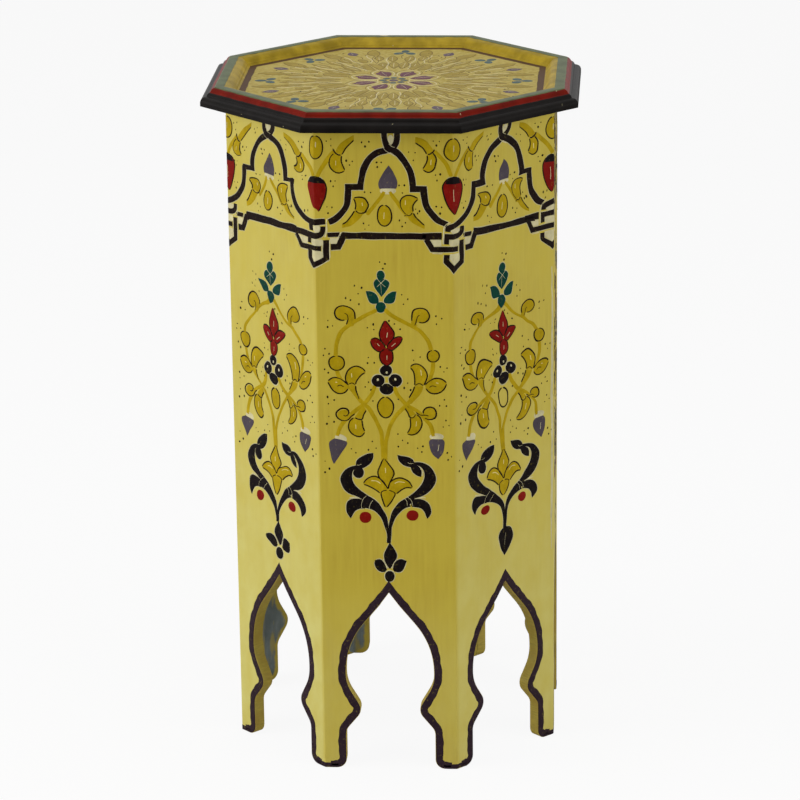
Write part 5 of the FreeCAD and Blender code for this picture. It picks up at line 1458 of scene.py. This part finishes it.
def ground_paint():
    """Yellow ground, distemper-like oil brushed up and down: long streaks 2 mm
    wide, thicker and deeper in blotches of 45 mm, with dark specks of wear; the
    surface has fine upright ridges. Painted light: the boards to the left and right
    are painted paler, the left ones most, for light falling from the left, and every
    board is painted paler towards the feet, for light thrown up by the floor."""
    material, tree, shader, place = start_finish("yellow_ground_brushed_upright")
    streak = mottle(tree, place, 2.3, 0.25, 0.75, 5.0, (1, 1, 15))
    blotch = mottle(tree, place, 45, 0.38, 0.62, 4.0)
    cloud = mottle(tree, place, 14, 0.35, 0.68, 5.0, (1, 1, 1.6))
    body = blend(tree, streak, tone("ground_deep"), tone("ground"))
    body = blend(tree, 0.7, body, blend(tree, blotch, tone("ground"), body))
    body = blend(tree, 0.45, body, tone("ground"))
    # pale is the tone that the painted light below lightens the ground towards.
    pale = blend(tree, cloud, tone("ground"), tone("ground_pale"))
    # Painted light: low is a share of painted lightness, larger on the boards to the left and right
    # (most on the left, where the light falls) and towards the feet, where the floor throws light
    # up.
    split = add(tree, "SeparateXYZ", {"Vector": place}).outputs
    left, right = (ramp(tree, split["X"], side * 0.053, side * 0.056) for side in (-1, 1))
    low = reckon(tree, "ADD", left, right)
    low = reckon(tree, "MULTIPLY", low, ramp(tree, split["Z"], 0.34, 0.1, 0.0, 0.5))
    low = reckon(tree, "MAXIMUM", low, ramp(tree, split["Z"], 0.16, 0.08, 0.0, 0.3))
    low = reckon(tree, "MULTIPLY_ADD", left, 0.33, low)
    low = reckon(tree, "MULTIPLY_ADD", right, 0.15, low)
    # Lays the painted light on the ground: paler side boards and paler feet.
    body = blend(tree, low, body, blend(tree, 0.6, pale, tone("ground_pale")))
    speck = reckon(tree, "MULTIPLY", mottle(tree, place, 1.3, 0.7, 0.78, 5.0), 0.35)
    body = blend(tree, speck, body, shade(tone("ground_deep"), 0.35))
    return end_finish(material, shader, body, 0.55, streak, 0.03, gloss=0.12)


def sawn_edge():
    """Sawn edge of the arches under ochre paint: fine saw marks across, dirt in them."""
    material, tree, shader, place = start_finish("sawn_edge_ochre")
    marks = mottle(tree, place, 1.2, 0.3, 0.7, 2.0, (6, 6, 1))
    dirt = mottle(tree, place, 12, 0.4, 0.7)
    body = blend(tree, marks, shade(tone("edge"), 0.75), tone("edge"))
    body = blend(tree, dirt, body, tone("ground_deep"))
    return end_finish(material, shader, body, 0.6, marks, 0.1)


def slate_stain():
    """Inside of the boards: thin slate stain that dried in clouds, rubbed through to
    the ground in upright streaks, and a bare yellow margin about 4 mm wide along the
    sawn edge, where the ground was carried in."""
    material, tree, shader, place = start_finish("slate_stain_inside")
    cloud = mottle(tree, place, 16, 0.3, 0.7, 6.0)
    grain = mottle(tree, place, 2.4, 0.3, 0.7, 3.0, (1, 1, 16))
    stain = tone("stain")
    body = blend(tree, cloud, shade(stain, 0.55), shade(stain, 1.5))
    body = blend(tree, grain, body, shade(stain, 0.9))
    rubbed = reckon(tree, "MULTIPLY", mottle(tree, place, 7, 0.52, 0.62, 5.0, (1, 1, 4)), 0.6)
    body = blend(tree, rubbed, body, tone("edge"))
    margin = add(tree, "Attribute", attribute_name="margin").outputs["Fac"]
    edge = reckon(tree, "MULTIPLY_ADD", mottle(tree, place, 9, 0.2, 0.8), 3.5, margin)
    body = blend(tree, ramp(tree, edge, 4.6, 6.4), tone("edge"), body)
    return end_finish(material, shader, body, 0.75, grain, 0.08)


# Where the knock on the rear rim is, in metres.
KNOCK = (-0.017, 0.1375, RIM_TOP * MM)


def rim_paint():
    """Painted softwood moulding: green flat, red hollow, black nose and ochre cove,
    each cut in by hand along the run of the section, so the borders waver 0.5 mm;
    rubbed through to pale wood in chips, one of them a knock on the rear length."""
    material, tree, shader, place = start_finish("rim_paint_banded")
    across = add(tree, "Attribute", attribute_name="across").outputs["Fac"]
    run = reckon(tree, "MULTIPLY_ADD", mottle(tree, place, 11, 0.2, 0.8, 4.0), 0.9, across)
    profile, way = rim_profile()
    swell = mottle(tree, place, 12, 0.3, 0.7)

    def reach(out, up):
        return float(way[np.argmin(np.hypot(profile[:, 0] - out, profile[:, 1] - up))]) + 0.45

    def coat(name, low=0.72, high=1.2):
        pale = tuple(min(1, high * c + 0.001) for c in tone(name))
        return blend(tree, swell, shade(tone(name), low), pale)

    body = coat("rim_black", 0.8, 1.5)
    for paint, begins in (
        ("rim_red", reach(141.3, 546.36) - 0.9), ("rim_green", reach(137.6, 550) - 0.9),
        ("rim_ochre", reach(130.5, 549.9)),
    ):
        share = ramp(tree, run, begins - 0.12, begins + 0.12)
        body = blend(tree, share, body, coat(paint))
    far = add(tree, "VectorMath", {0: place, 1: KNOCK}, operation="DISTANCE").outputs["Value"]
    knock = ramp(tree, far, 4.5 * MM, 2.5 * MM)
    chip = reckon(tree, "MAXIMUM", mottle(tree, place, 5, 0.73, 0.76, 6.0), knock)
    body = blend(tree, chip, body, tone("cream"))
    hairs = mottle(tree, place, 1.6, 0.3, 0.7, 3.0)
    return end_finish(material, shader, body, 0.4, hairs, 0.06, gloss=0.06)


def deck_paint():
    """Ground of the deck under browned varnish: ochre in soft clouds, darker where
    hands and cups rubbed it, and a brown stripe cut in by hand along the foot of the
    rim: stripe where the largest of |x cos a + y sin a| over the four axes of the
    eight sides is past about 115.5 mm."""
    material, tree, shader, place = start_finish("deck_ground_varnished")
    far = None
    for side in range(SIDES // 2):
        axis = (math.sin(side * TURN), -math.cos(side * TURN), 0)
        dot = add(tree, "VectorMath", {0: place, 1: axis}, operation="DOT_PRODUCT").outputs["Value"]
        dot = reckon(tree, "ABSOLUTE", dot)
        far = dot if far is None else reckon(tree, "MAXIMUM", far, dot)
    edge = reckon(tree, "MULTIPLY_ADD", mottle(tree, place, 14, 0.2, 0.8, 3.0), 1.4 * MM, far)
    fine = mottle(tree, place, 3.5, 0.35, 0.7, 6.0)
    body = blend(tree, mottle(tree, place, 30, 0.3, 0.7, 5.0), tone("ground_deep"), tone("deck"))
    body = blend(tree, fine, body, blend(tree, 0.5, tone("deck"), tone("ground_pale")))
    stain = reckon(tree, "MULTIPLY", mottle(tree, place, 22, 0.62, 0.74, 6.0), 0.45)
    body = blend(tree, stain, body, tone("olive"))
    stripe = ramp(tree, edge, 116 * MM, 116.4 * MM)
    body = blend(tree, stripe, body, tone("stripe"))
    return end_finish(material, shader, body, 0.5, fine, 0.05, gloss=0.05)


def bare_wood(name, stretch):
    """Planed softwood without finish: rings about 3 mm apart drawn out along the
    grain, early wood paler than late wood, dull."""
    material, tree, shader, place = start_finish(name)
    rings = mottle(tree, place, 3, 0.35, 0.65, 3.0, stretch)
    cloud = mottle(tree, place, 25, 0.3, 0.7)
    wood = tone("wood")
    body = blend(tree, rings, shade(wood, 0.68), wood)
    body = blend(tree, cloud, body, shade(wood, 0.85))
    return end_finish(material, shader, body, 0.7, rings, 0.1)


def brad_wire():
    """Drawn steel wire of the brads, dulled, with rust blooming in spots."""
    material, tree, shader, place = start_finish("drawn_steel_dulled")
    rust = mottle(tree, place, 0.8, 0.45, 0.6, 4.0)
    shader.inputs["Metallic"].default_value = 0.85
    body = blend(tree, rust, (0.33, 0.32, 0.31), (0.12, 0.045, 0.02))
    return end_finish(material, shader, body, 0.5, rust, 0.05)


def brush_paints():
    """Material of every paint the ornament uses: its name, colour, what lies under
    it, how far it is worn and how rough it is."""
    ground = tone("ground")
    deck = tone("deck")
    rows = {
        "gold": ("olive_gold_brushed", tone("gold"), ground, 0.25, 0.42),
        "strap": ("strap_black_brushed", tone("strap"), ground, 0.1, 0.45),
        "band": ("band_brown_brushed", tone("band"), ground, 0.15, 0.45),
        "cell": ("cream_cells_brushed", tone("cream"), ground, 0.4, 0.5),
        "purple": ("purple_grey_brushed", tone("purple"), ground, 0.15, 0.45),
        "teal": ("teal_brushed", tone("teal"), ground, 0.1, 0.45),
        "red": ("red_brushed", tone("red"), ground, 0.08, 0.45),
        "black": ("black_brushed", tone("black"), ground, 0.1, 0.45),
        "outline": ("fine_brown_line", tone("outline"), ground, 0.12, 0.5),
        "dot": ("brown_dot", tone("outline"), ground, 0.2, 0.45),
        "light": ("pale_touch", tone("light"), ground, 0.3, 0.45),
        "cream": ("cream_line", tone("cream"), ground, 0.25, 0.5),
        "halo": ("pale_halo", tone("halo"), ground, 0.3, 0.5),
        "olive": ("faded_olive", tone("olive"), deck, 0.6, 0.5),
        "petal": ("faded_rose", linear("#6E4552"), deck, 0.4, 0.5),
        "teal_grey": ("faded_teal", linear("#54696A"), deck, 0.4, 0.5),
        "purple_grey": ("faded_purple", linear("#6B5B67"), deck, 0.4, 0.5),
        "vine": ("faded_vine", linear("#877239"), deck, 0.5, 0.5),
        "pale": ("faded_cream", linear("#DCD2A4"), deck, 0.5, 0.5),
    }
    return {paint: brushed_paint(*row) for paint, row in rows.items()}


# ---------------------------------------------------------------- operators


class MAKE_OT_boards(bpy.types.Operator):
    """Side boards with their sawn arches, ground paint and stained inside"""

    bl_idname = "painted_table.boards"
    bl_label = "Side boards"

    def execute(self, context):
        paints = [ground_paint(), sawn_edge(), slate_stain()]
        for side in range(1, SIDES + 1):
            points, faces, which, margin = board_shape(side)
            points = turned_points(points, side)
            piece = make_piece(f"painted_board_{side}", points, faces, paints, which)
            attribute = piece.data.attributes.new("margin", "FLOAT", "POINT")
            attribute.data.foreach_set("value", margin.astype(np.float32))
            close_seams(piece)
            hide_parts(f"side_board_{side}")
        return {"FINISHED"}


class MAKE_OT_ornament(bpy.types.Operator):
    """Straps, knots, flowers, scrolls and dots brushed on the boards"""

    bl_idname = "painted_table.ornament"
    bl_label = "Board ornament"

    def execute(self, context):
        paints = brush_paints()
        for paint, (points, faces) in whole_painting().items():
            piece = make_piece(f"board_{paint}", points, faces, [paints[paint]], smooth=PAINT_ANGLE)
        return {"FINISHED"}


class MAKE_OT_deck_ornament(bpy.types.Operator):
    """Faded leaves, petals and drops brushed on the deck"""

    bl_idname = "painted_table.deck_ornament"
    bl_label = "Deck ornament"

    def execute(self, context):
        paints = brush_paints()
        for paint, strips in deck_painting().paints.items():
            points, faces = joined(strips)
            points = points + (0, 0, DECK_TOP)
            piece = make_piece(f"deck_{paint}", points, faces, [paints[paint]], smooth=PAINT_ANGLE)
        return {"FINISHED"}


class MAKE_OT_rim(bpy.types.Operator):
    """Mitred rim moulding with its painted bands"""

    bl_idname = "painted_table.rim"
    bl_label = "Rim moulding"

    def execute(self, context):
        paint = rim_paint()
        points, faces, across = rim_shape()
        for side in range(1, SIDES + 1):
            piece = make_piece(f"painted_rim_{side}", turned_points(points, side), faces, [paint])
            attribute = piece.data.attributes.new("across", "FLOAT", "POINT")
            attribute.data.foreach_set("value", across.astype(np.float32))
            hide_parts(f"rim_moulding_{side}")
        return {"FINISHED"}


class MAKE_OT_plain_parts(bpy.types.Operator):
    """Finishes of the deck, battens, corner blocks and brads"""

    bl_idname = "painted_table.plain_parts"
    bl_label = "Deck, battens, blocks and brads"

    def execute(self, context):
        finishes = {
            "deck": deck_paint(), "top_cleat": bare_wood("softwood_batten", (7, 7, 1)),
            "corner_block": bare_wood("softwood_block", (1, 1, 9)),
        }
        wire = brad_wire()
        finishes.update(deck_brads=wire, cleat_brads=wire)
        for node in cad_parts:
            for start, finish in finishes.items():
                if node.startswith(start):
                    for place in bpy.data.objects[node].material_slots:
                        place.material = finish
        return {"FINISHED"}


class MAKE_OT_stage(bpy.types.Operator):
    """Pale floor, soft lamps, white surround and the camera"""

    bl_idname = "painted_table.stage"
    bl_label = "Floor, light and camera"

    def execute(self, context):
        self.floor()
        self.surround()
        for name, azimuth, rise, far, size, power in (
            ("window_left", -68, 14, 2.4, 1.9, 38), ("fill_right", 62, 12, 2.6, 1.9, 27),
            ("soft_above", 0, 86, 2.4, 1.9, 17),
        ):
            data = bpy.data.lights.new(name, "AREA")
            data.shape, data.size, data.energy = "DISK", size, power
            lamp = bpy.data.objects.new(name, data)
            a, e = math.radians(azimuth), math.radians(rise)
            back = Vector((math.sin(a) * math.cos(e), -math.cos(a) * math.cos(e), math.sin(e)))
            lamp.location = back * far + Vector((0, 0, 0.3))
            lamp.rotation_euler = back.to_track_quat("Z", "Y").to_euler()
            context.scene.collection.objects.link(lamp)
        self.camera(context)
        context.scene.view_settings.view_transform = "Standard"
        return {"FINISHED"}

    def floor(self):
        """Flat round floor: a fan of rings, x = r cos a, y = r sin a. The camera sees
        most of it as white, and its shadows as they fall."""
        radius, spokes = np.array([0.3, 0.6, 1.2, 2.5, 5, 9]), 64
        angle = np.linspace(0, 2 * math.pi, spokes + 1)[:-1]
        x, y = np.outer(radius, np.cos(angle)), np.outer(radius, np.sin(angle))
        points = np.vstack([[0, 0, 0], np.column_stack([x.ravel(), y.ravel(), np.zeros(x.size)])])
        index = np.arange(x.size).reshape(x.shape) + 1
        index = np.hstack([index, index[:, :1]])
        faces = grid_faces(index)[:, ::-1].tolist()
        faces += [[0, index[0, i], index[0, i + 1]] for i in range(spokes)]
        mesh = bpy.data.meshes.new("floor")
        mesh.from_pydata(points.tolist(), [], faces)
        material = bpy.data.materials.new("pale_floor")
        material.use_nodes = True
        tree = material.node_tree
        tree.nodes.clear()
        path = add(tree, "LightPath")
        seen = reckon(tree, "MULTIPLY", path.outputs["Is Camera Ray"], 0.92)
        matt = add(tree, "BsdfDiffuse", {"Color": full((0.82, 0.82, 0.82))}).outputs[0]
        white = add(tree, "Emission", {"Color": full((1, 1, 1)), "Strength": 1.0}).outputs[0]
        mixed = add(tree, "MixShader", {0: seen, 1: matt, 2: white}).outputs[0]
        add(tree, "OutputMaterial", {"Surface": mixed})
        mesh.materials.append(material)
        ground = bpy.data.objects.new("floor", mesh)
        bpy.context.scene.collection.objects.link(ground)

    def surround(self):
        """Grey-white sky for light, white where the camera or a gloss sees it."""
        world = bpy.data.worlds.new("surround")
        world.use_nodes = True
        tree = world.node_tree
        tree.nodes.clear()
        path = add(tree, "LightPath")
        seen = reckon(tree, "MAXIMUM", path.outputs["Is Camera Ray"], path.outputs["Is Glossy Ray"])
        strength = ramp(tree, seen, 0.0, 1.0, 0.22, 1.0)
        sky = add(tree, "Background", {"Color": full((1, 1, 1)), "Strength": strength}).outputs[0]
        add(tree, "OutputWorld", {"Surface": sky})
        bpy.context.scene.world = world

    def camera(self, context):
        """Camera 3.02 m off, 17.9 degrees up and 4 degrees round to the right,
        rolled a little, looking at the middle of the table."""
        far, aim_right, aim_up = 3.0191, 0.00187, 0.27319
        rise, round_to, roll = (math.radians(angle) for angle in (17.8853, 3.9556, -0.7251))
        place = Vector((aim_right, -far * math.cos(rise), aim_up + far * math.sin(rise)))
        ahead = Vector((0, math.cos(rise), -math.sin(rise)))
        right = Vector((1, 0, 0))
        up = right.cross(ahead)
        c, s = math.cos(roll), math.sin(roll)
        right, up = c * right + s * up, -s * right + c * up
        turn = Matrix.Rotation(round_to, 3, "Z")
        axes = Matrix([turn @ right, turn @ up, turn @ -ahead]).transposed()
        data = bpy.data.cameras.new("camera")
        data.lens, data.sensor_width = 164.62, 36
        view = bpy.data.objects.new("camera", data)
        view.matrix_world = Matrix.Translation(turn @ place) @ axes.to_4x4()
        context.scene.collection.objects.link(view)
        context.scene.camera = view


class MAKE_PT_panel(bpy.types.Panel):
    """Steps and settings of the painted table"""

    bl_idname = "MAKE_PT_painted_table"
    bl_label = "Painted Table"
    bl_space_type = "VIEW_3D"
    bl_region_type = "UI"
    bl_category = "Painted Table"

    def draw(self, context):
        for step in STEPS:
            self.layout.operator(step.bl_idname)
        for group in (context.scene.table_sizes, context.scene.table_colours):
            box = self.layout.box()
            for name in group.__annotations__:
                box.prop(group, name)


STEPS = (MAKE_OT_stage, MAKE_OT_boards, MAKE_OT_rim, MAKE_OT_plain_parts, MAKE_OT_ornament,
         MAKE_OT_deck_ornament)
CLASSES = (TableSizes, TableColours, *STEPS, MAKE_PT_panel)


def register():
    for cls in CLASSES:
        bpy.utils.register_class(cls)
    bpy.types.Scene.table_sizes = PointerProperty(type=TableSizes)
    bpy.types.Scene.table_colours = PointerProperty(type=TableColours)


def unregister():
    del bpy.types.Scene.table_colours
    del bpy.types.Scene.table_sizes
    for cls in reversed(CLASSES):
        bpy.utils.unregister_class(cls)


def main():
    register()
    for step in STEPS:
        group, name = step.bl_idname.split(".")
        getattr(getattr(bpy.ops, group), name)()


if __name__ == "__main__":
    main()
